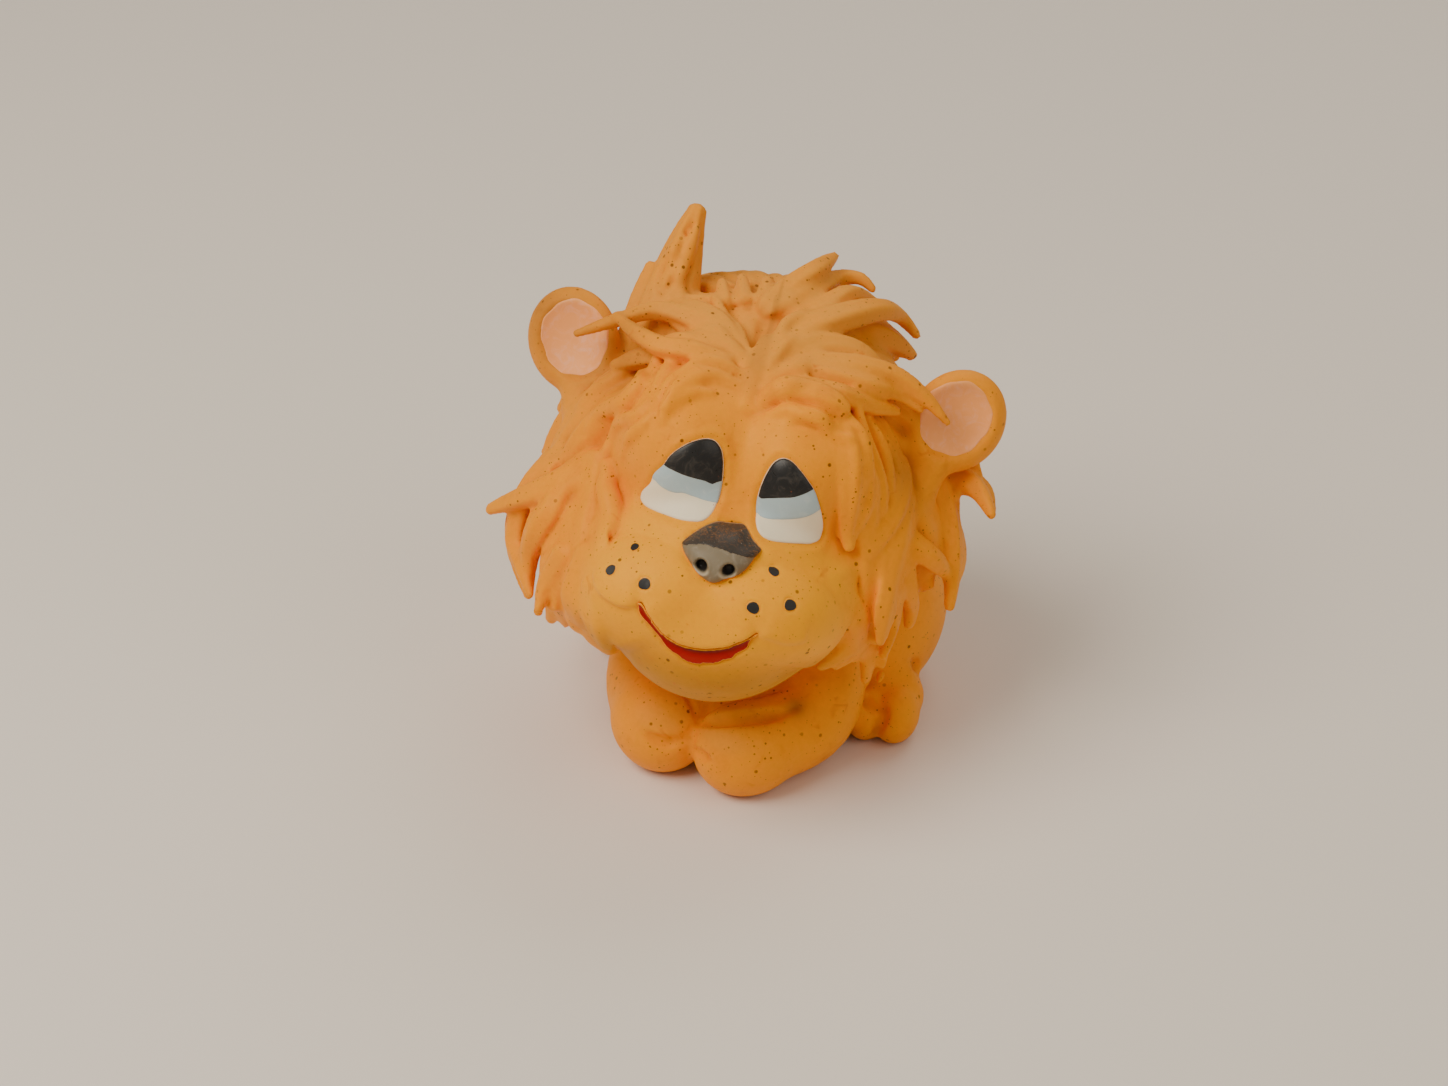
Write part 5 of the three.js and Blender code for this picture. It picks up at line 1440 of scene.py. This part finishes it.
def followed_strand(chart, line, halves_wide, flat, seed):
    """A strand through points that are given one by one over the head."""
    count = 18
    places, share = np.array(line), np.linspace(0, 1, count)
    u = directions(places[:, :2])
    path = curve_through(u * (chart.smooth_radius(u) + places[:, 2])[:, None], count)
    wide = np.interp(share, np.linspace(0, 1, len(line)), halves_wide) * (1 - 0.25 * share**8)
    across = unit(np.cross(path, np.gradient(path, axis=0)))
    return strand(path, across, wide, wide * flat, 5, RIDGE_DEPTH * flat, seed * 1.7)


def lay_roll(clay, chart, line, heights, radius):
    """Lays a roll on the clay along places on the head, or a groove if the radius is negative."""
    count = 24
    u = on_sphere(line, count)
    rise = np.interp(np.linspace(0, 1, count), np.linspace(0, 1, len(line)), heights)
    path = clay.settled(chart.on(u) + u * rise[:, None])
    path = curve_through(path[::4], count)
    radii = abs(radius) * (0.4 + 0.75 * np.sin(np.linspace(0.25, math.pi - 0.25, count)))
    if radius < 0:
        clay.carve(tube(path, radii, count), BLENDS["roll"])
    else:
        clay.add(tube(path - unit(path) * radius * 0.2, radii, count), BLENDS["roll"])


def sculpt_head(sizes):
    chart = head_chart(sizes)
    clay = Clay(*BLOCKS["head"], cell_size(sizes))
    skin = chart.detailed - chart.sunk

    def shell(points):
        # The surface lies at a slant to the ray, so it is a little nearer than along the ray.
        r = np.linalg.norm(points, axis=-1) + 1e-6
        return (r - chart.look(skin, points / r[..., None])) * 0.92

    clay.fill(shell)
    for name, group in {"low": WISPS, **MANE}.items():
        for lock in group:
            for form in lock_strands(chart, lock, name in BACK_GROUPS):
                clay.add(form, BLENDS["strand"])
    for seed, (line, halves_wide, flat) in enumerate(FINGERS):
        clay.add(followed_strand(chart, line, halves_wide, flat, seed), BLENDS["strand"])
    for line, radius in ROLLS:
        lay_roll(clay, chart, line, [ROLL_RISE] * len(line), radius)
    for line, radius in SPIKE_LINES:
        lay_roll(clay, chart, [place[:2] for place in line], [place[2] for place in line], radius)
    for _, side in SIDES:
        ear, hollow = ear_forms(chart, sizes, side)
        clay.add(ear, BLENDS["ear"])
        clay.carve(hollow, BLENDS["ear hollow"])
    return chart, clay


def head_marks(chart, points, normals, edges):
    """Where the head's latex is pale and tan, and where light and shade are painted on it: a dull
    yellow chin that is partly painted shade, deeper orange in hollows, and brown shade in creases,
    near the ear roots and where the mane parts.

    The limits are azimuths and elevations in degrees, and depths and heights in millimetres."""
    r = np.linalg.norm(points, axis=1)
    u = points / r[:, None]
    azimuth = np.degrees(np.arctan2(u[:, 0], -u[:, 1]))
    elevation = np.degrees(np.arcsin(u[:, 2]))
    proud = r - chart.smooth_radius(u)
    sideways = np.abs(azimuth) * np.where(azimuth < 0, 1.3, 1)
    fine, wide = (hollowness(points, normals, edges, times) for times in (10, 70))
    # Painted shade: deeper orange where the surface lies hollow, less of it under the tan coat
    recess = 0.75 * smoothly(0.02, 0.35, fine) + 0.6 * smoothly(0.1, 1.3, wide)
    muzzle = smoothly(52, 36, sideways) * smoothly(4, -8, elevation)
    pale = muzzle * (1 - smoothly(-24, -44, elevation) * 0.8)
    bridge = smoothly(5, 22, elevation) * smoothly(24, 8, sideways) * smoothly(48, 34, elevation)
    pale += 0.25 * bridge
    # The dull yellow of the head's underside is partly the chin's own colour and partly painted
    # shade
    ochre = smoothly(-26, -40, elevation) * smoothly(60, 36, sideways)
    crown = elevation + 0.35 * np.maximum(sideways - 60, 0)
    coat = smoothly(34, 62, crown) * (1 - 0.45 * smoothly(5, 10, proud))
    behind = smoothly(78, 100, sideways) * smoothly(-30, 10, elevation) * 0.55
    coat = np.maximum(coat, behind)
    # Painted shade in brown: along the groove where the mane parts, near the ear roots, and in fine
    # creases under the tan coat
    parting_and_ear_shade = smoothly(7, 2, np.abs(azimuth + 3)) * smoothly(36, 50, elevation) * 0.35
    for (a, e), spread in SHADES:
        parting_and_ear_shade += 0.6 * np.exp(-((azimuth - a) ** 2 + (elevation - e) ** 2) / spread**2)
    return {
        "recess": recess * (1 - 0.75 * coat),
        "pale": pale,
        "ochre": ochre,
        "coat": coat,
        "smudge": parting_and_ear_shade + 0.5 * coat * smoothly(0.05, 0.4, fine),
    }


def tail_forms(sizes):
    """The tail, and its tuft as a bunch of locks that part at their tips."""
    root, end, tuft = in_mm(sizes.tail)
    tail = tube(TAIL_PATH, [root, (2 * root + end) / 3, (root + 2 * end) / 3, end])
    locks = []
    count, steps = 7, 14
    for i in range(count):
        turn = 2 * math.pi * i / count
        out = np.array([math.cos(turn), 0.2 * math.sin(3 * turn), math.sin(turn)]) * tuft * 0.5
        open_out = np.array([0.25, 1.0, 1.0, 0.8 + 0.5 * (i % 2)])[:, None]
        path = curve_through(np.array(TUFT_PATH) + out * open_out, steps)
        t = np.linspace(0, 1, steps)
        wide = tuft * 0.55 * (0.55 + 0.5 * np.sin(math.pi * t**0.8)) * (1 - 0.75 * t**2)
        path[:, 2] = np.maximum(path[:, 2], wide + 0.2)
        side = np.tile([0.0, 0.0, 1.0], (steps, 1))
        locks.append(strand(path, side, wide, wide, 4, RIDGE_DEPTH, i))
    return [tail, joined(locks, 0.5)]


def leg_forms(sizes, side):
    """A foreleg with its paw as one roll, and the thigh with its hind foot."""
    out, back = in_mm(sizes.right_out), in_mm(sizes.right_back)

    def placed(at, share):
        x, y, z = in_mm(at)
        return (x, y, z) if side > 0 else (-x - out * share, y + back * share, z)

    path = [placed(at, i / 2) for i, at in enumerate((sizes.shoulder, sizes.elbow, sizes.wrist))]
    roll = tube(path, in_mm(sizes.leg))
    paw = ellipsoid(placed(sizes.paw_at, 1), in_mm(sizes.paw))
    fore = joined([roll, paw], 4.0)

    shift = in_mm(sizes.hind_shift)
    thigh_at, foot_at = in_mm(sizes.thigh_at), in_mm(sizes.foot_at)
    thigh_at[0] = side * thigh_at[0] + shift
    foot_at[0] = side * foot_at[0] + shift
    half = in_mm(sizes.foot)
    toe = half[0] * 0.62
    toes = [
        (np.array([x, -half[1] * 0.3, -half[2] * 0.1]), half * [0.62, 0.7, 0.9])
        for x in (toe - half[0], half[0] - toe)
    ]
    pad = (np.array([0, half[1] * 0.2, 0]), half * [1, 0.8, 1])
    foot = radial(foot_at, [pad, *toes], 22, 14, side * sizes.foot_turn)
    thigh = ellipsoid(thigh_at, in_mm(sizes.thigh))
    return fore, thigh, foot


def torso_forms(sizes):
    return [
        (np.zeros(3), in_mm(sizes.belly)),
        (in_mm(sizes.chest_at), in_mm(sizes.chest)),
        (in_mm(sizes.rump_at), in_mm(sizes.rump)),
    ]


def sculpt_body(sizes):
    clay = Clay(*BLOCKS["body"], cell_size(sizes))
    torso = radial(in_mm(sizes.torso_at), torso_forms(sizes), sizes.blend, reachable=40)
    clay.add(torso, BLENDS["torso"])
    clay.add(ellipsoid(in_mm(sizes.breast_at), in_mm(sizes.breast)), BLENDS["breast"])
    for _, side in SIDES:
        fore, thigh, foot = leg_forms(sizes, side)
        clay.add(thigh, BLENDS["thigh"])
        clay.add(foot, BLENDS["foot"])
        clay.add(fore, BLENDS["foreleg"])
    for form in tail_forms(sizes):
        clay.add(form, BLENDS["tail"])
    for root, tip, radius in DRIPS:
        bend = (np.array(root) + tip) / 2 + [0.5, -0.6, 0.3]
        drip = tube([root, bend, tip], [radius, radius * 0.85, radius * 0.6], 8)
        clay.add(drip, BLENDS["drip"])
    steps = 14
    for line, radius in CREASES:
        path = curve_through(clay.settled(curve_through(line, steps)), steps)
        radii = 1.9 * radius * np.sin(np.linspace(0.3, math.pi - 0.3, steps))
        clay.carve(tube(path, radii, 20), radius * 0.6)
    under = Form((-50, -50, -4), (50, 60, 3), lambda p: p[..., 2])
    clay.carve(under, BLENDS["belly's flat"])
    carve_squeaker_port(clay)
    return clay


def carve_squeaker_port(clay, middle_of_clay=(0, 0, 0)):
    """The recess and the bore that the squeaker sits in, from the squeaker's own box."""
    low, high = (np.array(corner) / MM - middle_of_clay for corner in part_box("squeaker_cup"))
    middle = (low + high) / 2
    clearance, recess, bore, room = 0.3, 1.2, 6.2, 2.4
    for radius, top in (((high[0] - low[0]) / 2, low[2] + recess), (bore, high[2] + room)):
        reachable = radius + clearance

        def distance(p, reachable=reachable, top=top):
            across = np.hypot(p[..., 0] - middle[0], p[..., 1] - middle[1]) - reachable
            return np.maximum(across, p[..., 2] - top - clearance)

        corner = np.array([reachable + 1, reachable + 1, 0])
        box_low = np.array([middle[0], middle[1], low[2] - 3]) - corner
        box_high = np.array([middle[0], middle[1], top + 2]) + corner
        clay.carve(Form(box_low, box_high, distance), BLENDS["port"])


def body_marks(points, normals, edges):
    """Where the body's latex is tan, and where light and shade are painted on it: deeper orange in
    hollows, brown along the forelegs' creases, tan under the chin, and paler faces turned upwards.
    """
    fine, wide = (hollowness(points, normals, edges, times) for times in (10, 70))
    # Painted shade: deeper orange where the surface lies hollow
    recess = 0.6 * smoothly(0.03, 0.4, fine) + 0.9 * smoothly(0.15, 1.6, wide)
    # Painted shade in brown along the forelegs' creases
    smudge = np.zeros(len(points))
    for at, radius in CREASE_SHADES:
        smudge += 0.75 * hump(np.linalg.norm(points - at, axis=1), radius)
    tuft = smoothly(26, 18, points[:, 1]) * smoothly(-26, -31, points[:, 0])
    # Tan on the breast under the chin: painted shade
    breast = smoothly(16, 8, np.abs(points[:, 0])) * smoothly(-16, -20, points[:, 1])
    breast *= smoothly(11, 14, points[:, 2])
    return {
        "recess": recess,
        # Paler where the surface faces up: painted light from above
        "pale": 0.15 * smoothly(0.2, 0.9, normals[:, 2]),
        "coat": 0.6 * tuft + 0.3 * smoothly(30, 42, points[:, 1]) + 0.45 * breast,
        "smudge": smudge,
    }


def dress(name, clay, matrix, marks_of):
    """The clay's surface as a smooth object with its marks."""
    points, quads = clay.surface()
    edges = edges_of(quads)
    points = averaged(points, edges, 2)
    normals = normals_of(points, quads)
    marks = marks_of(points, normals, edges)
    made = make_object(name, moved(points, matrix), quads)
    set_marks(made, **marks)
    return made


def film(name, top, low, lay, proud, marks_of=None, rows=25):
    """A thin closed film of paint between an upper and a lower line.

    lay gives the places on the skin and the ways outwards for a grid of points between the lines.
    The mark "edge" is the distance from the film's outline in millimetres, and "down" runs from 0
    at the upper line to 1 at the lower one."""
    top, low = top[1:-1], low[1:-1]
    share = (1 - np.cos(np.linspace(0, math.pi, rows)))[:, None, None] / 2
    grid = top * (1 - share) + low * share
    skin, out = lay(grid)
    outline = np.concatenate([skin[0], skin[-1], skin[:, 0], skin[:, -1]])
    away = np.linalg.norm(skin[..., None, :] - outline, axis=-1).min(-1)
    rounding, rounded_within, rooted = 0.22, 0.3, 0.35
    lift = proud - rounding * (1 - smoothly(0, rounded_within, away))
    over, under = skin + out * lift[..., None], skin - out * rooted
    columns = len(top)
    below = rows * columns
    place = np.arange(below).reshape(rows, columns)
    corners = [place[:-1, :-1], place[1:, :-1], place[1:, 1:], place[:-1, 1:]]
    quads = np.stack(corners, -1).reshape(-1, 4)
    rim = np.concatenate([place[0], place[1:, -1], place[-1, -2::-1], place[-2:0:-1, 0]])
    after = np.roll(rim, -1)
    walls = np.stack([rim, after, below + after, below + rim], -1)
    faces = np.concatenate([quads, below + quads[:, ::-1], walls])
    made = make_object(name, np.concatenate([over.reshape(-1, 3), under.reshape(-1, 3)]), faces)
    marks = {"edge": away, "down": np.broadcast_to(share[..., 0], away.shape)}
    marks.update(marks_of(grid) if marks_of else {})
    set_marks(made, **{key: np.tile(np.ravel(values), 2) for key, values in marks.items()})
    return made


def on_head(chart, matrix):
    """How a film lies on the head: grids of azimuths and elevations, or of directions."""
    turn = np.array(matrix.to_3x3())

    def lay(grid):
        u = unit(grid) if grid.shape[-1] == 3 else directions(grid)
        return moved(u * chart.radius(u)[..., None], matrix), u @ turn.T

    return lay


class LionOperator(bpy.types.Operator):
    """What the lion's operators have in common."""

    bl_options = {"REGISTER", "UNDO"}

    def execute(self, context):
        self.make(context)
        return {"FINISHED"}

    @property
    def head(self):
        return bpy.context.scene.lion_head

    @property
    def colours(self):
        return bpy.context.scene.lion_colours

    def face(self):
        """The head's chart, and how films lie on it."""
        chart = head_chart(self.head)
        return chart, on_head(chart, head_matrix(self.head))

    def wear_latex(self, made):
        """Head and body wear one material, and the first to ask makes it."""
        wear(made, bpy.data.materials.get("satin latex") or latex_finish(self.colours))

    def finish_film(self, made, finish, slot, node):
        wear(made, finish)
        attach(made, "head")
        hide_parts(node)


class LION_OT_body(LionOperator):
    """Shape the torso, the legs and the tail as one skin of latex"""

    bl_idname = "lion.body"
    bl_label = "Latex body"

    def make(self, context):
        sizes = context.scene.lion_body
        clay = sculpt_body(sizes)
        made = dress("latex_body", clay, Matrix(), body_marks)
        self.wear_latex(made)
        limbs = ["foreleg", "fore_paw", "thigh", "hind_foot"]
        nodes = [limb + "_" + side for limb in limbs for side, _ in SIDES]
        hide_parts("torso_skin", "tail", "tail_tuft", *nodes)
        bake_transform(made)


class LION_OT_head(LionOperator):
    """Shape the head, its mane and its ears as one skin of latex"""

    bl_idname = "lion.head"
    bl_label = "Latex head"

    def make(self, context):
        chart, clay = sculpt_head(self.head)
        matrix = head_matrix(self.head)
        made = dress("latex_head", clay, matrix, lambda *shape: head_marks(chart, *shape))
        self.wear_latex(made)
        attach(made, "head")
        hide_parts("head_skin", "ear_left", "ear_right", *MANE)


class LION_OT_eyes(LionOperator):
    """Paint the white, the blue band and the black zone of each eye"""

    bl_idname = "lion.eyes"
    bl_label = "Eyes"

    def make(self, context):
        _, lay = self.face()
        colours = self.colours
        rim = (0.80, 0.66, 0.48)
        zones = (
            ("white", "eye_white", paint_finish(
                "off-white paint", colours.white, (0.74, 0.52, 0.30), 0.2, 0.14, rim=rim
            )),
            ("iris", "eye_blue", paint_finish(
                "grey-blue paint", colours.blue, (0.62, 0.66, 0.62), 0.35
            )),
            ("pupil", "black_paint", paint_finish(
                "black eye paint", colours.black, (0.10, 0.085, 0.07), 0.45, 0.03, 0.22, rim
            )),
        )
        for name, lines in EYES.items():
            for zone, slot, finish in zones:
                top, low = halves(lines["edge"], lines.get(zone))
                proud = PROUD["eye_" + zone]
                made = film("eye_paint_" + zone + "_" + name, top, low, lay, proud)
                self.finish_film(made, finish, slot, "eye_" + zone + "_" + name)


class LION_OT_nose(LionOperator):
    """Paint the grey nose with its nostrils and its worn black top"""

    bl_idname = "lion.nose"
    bl_label = "Nose"

    def make(self, context):
        chart, lay = self.face()
        colours = self.colours
        nostril = in_mm(self.head.nostril)

        def nostrils(grid):
            u = directions(grid)
            deep, pale = 0, 0
            for place in NOSTRILS:
                away = chart.smooth_radius(u) * chord(u @ directions(place)) / nostril
                deep = deep + smoothly(1.02, 0.88, away)
                # Paler on the lower rim of each nostril: a painted highlight
                lower = smoothly(0.1, -0.5, (grid[..., 1] - place[1]) / 2)
                pale = pale + hump(away - 1.25, 0.2) * lower
            return {"deep": deep, "light": pale}

        grey = film("nose_paint", *halves(NOSE), lay, PROUD["nose"], nostrils, 61)
        finish = paint_finish(
            "grey nose paint", colours.grey, (0.40, 0.34, 0.27), 0.4, 0.1,
            rim=colours.pale, nostrils=True,
        )
        self.finish_film(grey, finish, "nose_grey", "nose")
        top, low = halves(NOSE, NOSE_LINE, 220)
        low = chipped(low, 0.09, 2.0)
        worn = film("nose_top_paint", top, low, lay, PROUD["nose_top"], rows=41)
        finish = worn_black_finish("worn black nose paint", (0.32, 0.12, 0.03))
        self.finish_film(worn, finish, "black_paint", "nose_top")


class LION_OT_mouth(LionOperator):
    """Paint the red mouth with its chipped lower edge"""

    bl_idname = "lion.mouth"
    bl_label = "Mouth"

    def make(self, context):
        _, lay = self.face()
        top, low = (curve_through(line, 200) for line in (MOUTH_TOP, MOUTH_LOW))
        chips = chipped(low, 0.1, 1.3)
        low = np.where(np.linspace(0, 1, 200)[:, None] > 0.45, chips, low)
        made = film("mouth_paint", top, low, lay, PROUD["mouth"], rows=17)
        red, rim = self.colours.red, self.colours.pale
        # The last colour darkens the mouth along its upper line as painted shadow of the upper lip
        finish = paint_finish(
            "red mouth paint", red, (0.30, 0.002, 0.0), 0.3, 0.03, 0.30, rim, (0.14, 0.002, 0.0)
        )
        self.finish_film(made, finish, "mouth_red", "mouth")


class LION_OT_whisker_spots(LionOperator):
    """Paint the six black spots that the whiskers would grow from"""

    bl_idname = "lion.whisker_spots"
    bl_label = "Whisker spots"

    def make(self, context):
        chart, lay = self.face()
        black, rim = self.colours.black, self.colours.pale
        finish = paint_finish("black spot paint", black, (0.06, 0.05, 0.035), 0.2, 0.0, 0.4, rim)
        for side, spots in SPOTS.items():
            for i, (place, radius) in enumerate(spots):
                turn = np.linspace(0, 2 * math.pi, 96, endpoint=False)
                uneven = 1 + 0.05 * np.sin(2 * turn + i) + 0.03 * np.sin(3 * turn + 2 * i)
                ring = chart.ring(place, radius * uneven[:, None])
                name = side + "_" + str(i + 1)
                lines = split_ring(ring)
                made = film("spot_paint_" + name, *lines, lay, PROUD["whisker_spot"], rows=19)
                self.finish_film(made, finish, "black_paint", "whisker_spot_" + name)


class LION_OT_ear_linings(LionOperator):
    """Paint the inside of the ears pink"""

    bl_idname = "lion.ear_linings"
    bl_label = "Ear linings"

    def make(self, context):
        chart, _ = self.face()
        skin = bpy.data.objects["latex_head"].data
        corners, faces = [v.co for v in skin.vertices], [p.vertices for p in skin.polygons]
        tree = BVHTree.FromPolygons(corners, faces)
        pink = self.colours.pink
        finish = paint_finish("pink ear paint", pink, (0.90, 0.46, 0.32), 0.5, 0.10, 0.42)
        half = in_mm(self.head.ear)
        for name, side in SIDES:
            place = head_matrix(self.head) @ ear_matrix(chart, self.head, side)
            turn = np.linspace(0, 2 * math.pi, 200, endpoint=False)
            wavy = 1 + 0.02 * np.sin(5 * turn + side) + 0.01 * np.sin(11 * turn)
            x = -1.3 * side - half[0] * 0.74 * wavy * np.cos(turn)
            z = 0.4 + half[2] * 0.72 * wavy * np.sin(turn)
            lines = split_ring(np.stack([x, z], -1))
            made = film("ear_paint_" + name, *lines, on_ear(tree, place), PROUD["ear_lining"])
            self.finish_film(made, finish, "ear_pink", "ear_lining_" + name)


def on_ear(tree, place):
    """How a film lies in an ear: grids of places across the ear, cast onto the skin behind them."""
    inward = np.array((place.to_3x3() @ Vector((0, 1, 0))).normalized())
    depth, beyond = 5.9, 4

    def lay(grid):
        start = np.stack([grid[..., 0], np.full(grid.shape[:-1], -depth), grid[..., 1]], -1)
        points = moved(start.reshape(-1, 3), place)
        for i, point in enumerate(points):
            hit, _, _, distance = tree.ray_cast(Vector(point * MM), Vector(inward))
            near = hit is not None and distance < (depth + beyond) * MM
            points[i] = np.array(hit) / MM if near else point + inward * depth
        return points.reshape(start.shape), np.broadcast_to(-inward, start.shape)

    return lay


class LION_OT_fibre(LionOperator):
    """Stuff the head and the torso with fibre"""

    bl_idname = "lion.fibre"
    bl_label = "Fibre filling"

    def make(self, context):
        finish = fibre_finish(self.colours)
        body = context.scene.lion_body
        room, tuft, cell = 3.6, (3.4, 3.4, 3.4), 1.2
        low, high = BLOCKS["fibre"]
        head = [(at, half - room) for at, half in head_forms(self.head)]
        torso = [(at, half - room) for at, half in torso_forms(body)]
        for name, forms, sharpness, matrix in (
            ("head", head, self.head.blend, head_matrix(self.head)),
            ("torso", torso, body.blend, Matrix.Translation(in_mm(body.torso_at))),
        ):
            clay = Clay(low, high, cell)
            clay.add(radial((0, 0, 0), forms, sharpness, reachable=44), BLENDS["fibre"])
            for u in spiral(60):
                middle = u * (blended(forms, sharpness, u[None])[0] + 1.2)
                clay.carve(ellipsoid(middle, tuft), BLENDS["tuft"])
            if name == "torso":
                carve_squeaker_port(clay, in_mm(body.torso_at))
                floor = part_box("torso_filling")[0][2] / MM - in_mm(body.torso_at)[2]
                under = Form(low, (*high[:2], floor + 2), lambda p: p[..., 2] - floor)
                clay.carve(under, BLENDS["fibre"])
            points, quads = clay.surface()
            points = moved(averaged(points, edges_of(quads), 2), matrix)
            made = make_object("fibre_" + name, points, quads)
            wear(made, finish)
            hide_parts(name + "_filling")
            if name == "head":
                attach(made, "head")
            else:
                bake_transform(made)


class LION_OT_squeaker(LionOperator):
    """Give the squeaker's pieces their white plastic"""

    bl_idname = "lion.squeaker"
    bl_label = "Squeaker"

    def make(self, context):
        finish = plastic_finish(self.colours)
        for node in ("squeaker_cup", "reed_holder", "reed", "reed_wedge"):
            wear(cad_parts[node], finish)


class LION_OT_stage(LionOperator):
    """Set the floor, the soft lights and the camera"""

    bl_idname = "lion.stage"
    bl_label = "Stage"

    def make(self, context):
        stage = context.scene.lion_stage
        size = 6000
        corners = [(-size, -size, 0), (size, -size, 0), (size, size, 0), (-size, size, 0)]
        floor = make_object("floor", corners, np.array([[0, 1, 2, 3]]))
        wear(floor, floor_finish(self.colours))
        floor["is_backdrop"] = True
        self.light("key softbox", stage.key, -38, 52, 900, 650)
        self.light("fill softbox", stage.fill, 78, 38, 1000, 800)
        self.light("back softbox", stage.rim, 170, 48, 1000, 700)
        world = bpy.data.worlds.new("even light")
        world.use_nodes = True
        sky = world.node_tree.nodes["Background"].inputs
        sky["Color"].default_value = (*stage.tint, 1)
        sky["Strength"].default_value = stage.sky
        context.scene.world = world
        self.camera(stage)

    def light(self, name, power, azimuth, elevation, distance, size):
        away = Vector(directions((azimuth, elevation)))
        lamp = bpy.data.lights.new(name, "AREA")
        lamp.shape = "DISK"
        lamp.size = size * MM
        lamp.energy = power
        lamp.color = bpy.context.scene.lion_stage.tint
        made = bpy.data.objects.new(name, lamp)
        made.location = away * distance * MM + Vector((0, 0, 40 * MM))
        made.rotation_euler = away.to_track_quat("Z", "Y").to_euler()
        bpy.context.scene.collection.objects.link(made)

    def camera(self, stage):
        """The photograph's view: 1448 by 1086 pixels, with the belly's middle at its own pixel."""
        width, height = 1448, 1086
        turn = stage.azimuth
        back = Vector(directions(np.degrees([turn, stage.elevation])))
        right = Vector((math.cos(turn), math.sin(turn), 0))
        up = back.cross(right)
        pixel = stage.distance / stage.focal
        eye = back * stage.distance
        eye -= right * (stage.origin_x - width / 2) * pixel
        eye += up * (stage.origin_y - height / 2) * pixel
        camera = bpy.data.cameras.new("photograph view")
        camera.sensor_width = 36
        camera.lens = camera.sensor_width * stage.focal / width
        camera.clip_start = 0.01
        made = bpy.data.objects.new("photograph view", camera)
        axes = Matrix((right, up, back)).transposed()
        made.matrix_world = Matrix.Translation(eye) @ axes.to_4x4()
        bpy.context.scene.collection.objects.link(made)
        bpy.context.scene.camera = made


class LION_PT_panel(bpy.types.Panel):
    """The lion's steps and settings in the sidebar."""

    bl_idname = "LION_PT_panel"
    bl_label = "Latex lion"
    bl_space_type = "VIEW_3D"
    bl_region_type = "UI"
    bl_category = "Lion"

    def draw(self, context):
        for step in STEPS:
            self.layout.operator(step.bl_idname)
        for group in ("lion_head", "lion_body", "lion_colours", "lion_stage"):
            settings = getattr(context.scene, group)
            column = self.layout.column(heading=settings.bl_rna.name)
            for name in settings.__annotations__:
                column.prop(settings, name)


STEPS = (
    LION_OT_stage,
    LION_OT_body,
    LION_OT_head,
    LION_OT_eyes,
    LION_OT_nose,
    LION_OT_mouth,
    LION_OT_whisker_spots,
    LION_OT_ear_linings,
    LION_OT_fibre,
    LION_OT_squeaker,
)
GROUPS = {
    "lion_head": LionHeadSizes,
    "lion_body": LionBodySizes,
    "lion_colours": LionColours,
    "lion_stage": LionStage,
}


def register():
    for group in GROUPS.values():
        bpy.utils.register_class(group)
    for step in (*STEPS, LION_PT_panel):
        bpy.utils.register_class(step)
    for name, group in GROUPS.items():
        setattr(bpy.types.Scene, name, bpy.props.PointerProperty(type=group))


def unregister():
    for name in GROUPS:
        delattr(bpy.types.Scene, name)
    for step in (LION_PT_panel, *reversed(STEPS)):
        bpy.utils.unregister_class(step)
    for group in GROUPS.values():
        bpy.utils.unregister_class(group)


def main():
    register()
    bpy.ops.lion.stage()
    bpy.ops.lion.body()
    bpy.ops.lion.head()
    bpy.ops.lion.eyes()
    bpy.ops.lion.nose()
    bpy.ops.lion.mouth()
    bpy.ops.lion.whisker_spots()
    bpy.ops.lion.ear_linings()
    bpy.ops.lion.fibre()
    bpy.ops.lion.squeaker()
    boxes = {"cad": CAD_BOX, "visual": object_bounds()}
    {name: [list(corner) for corner in box] for name, box in boxes.items()}


if __name__ == "__main__":
    main()
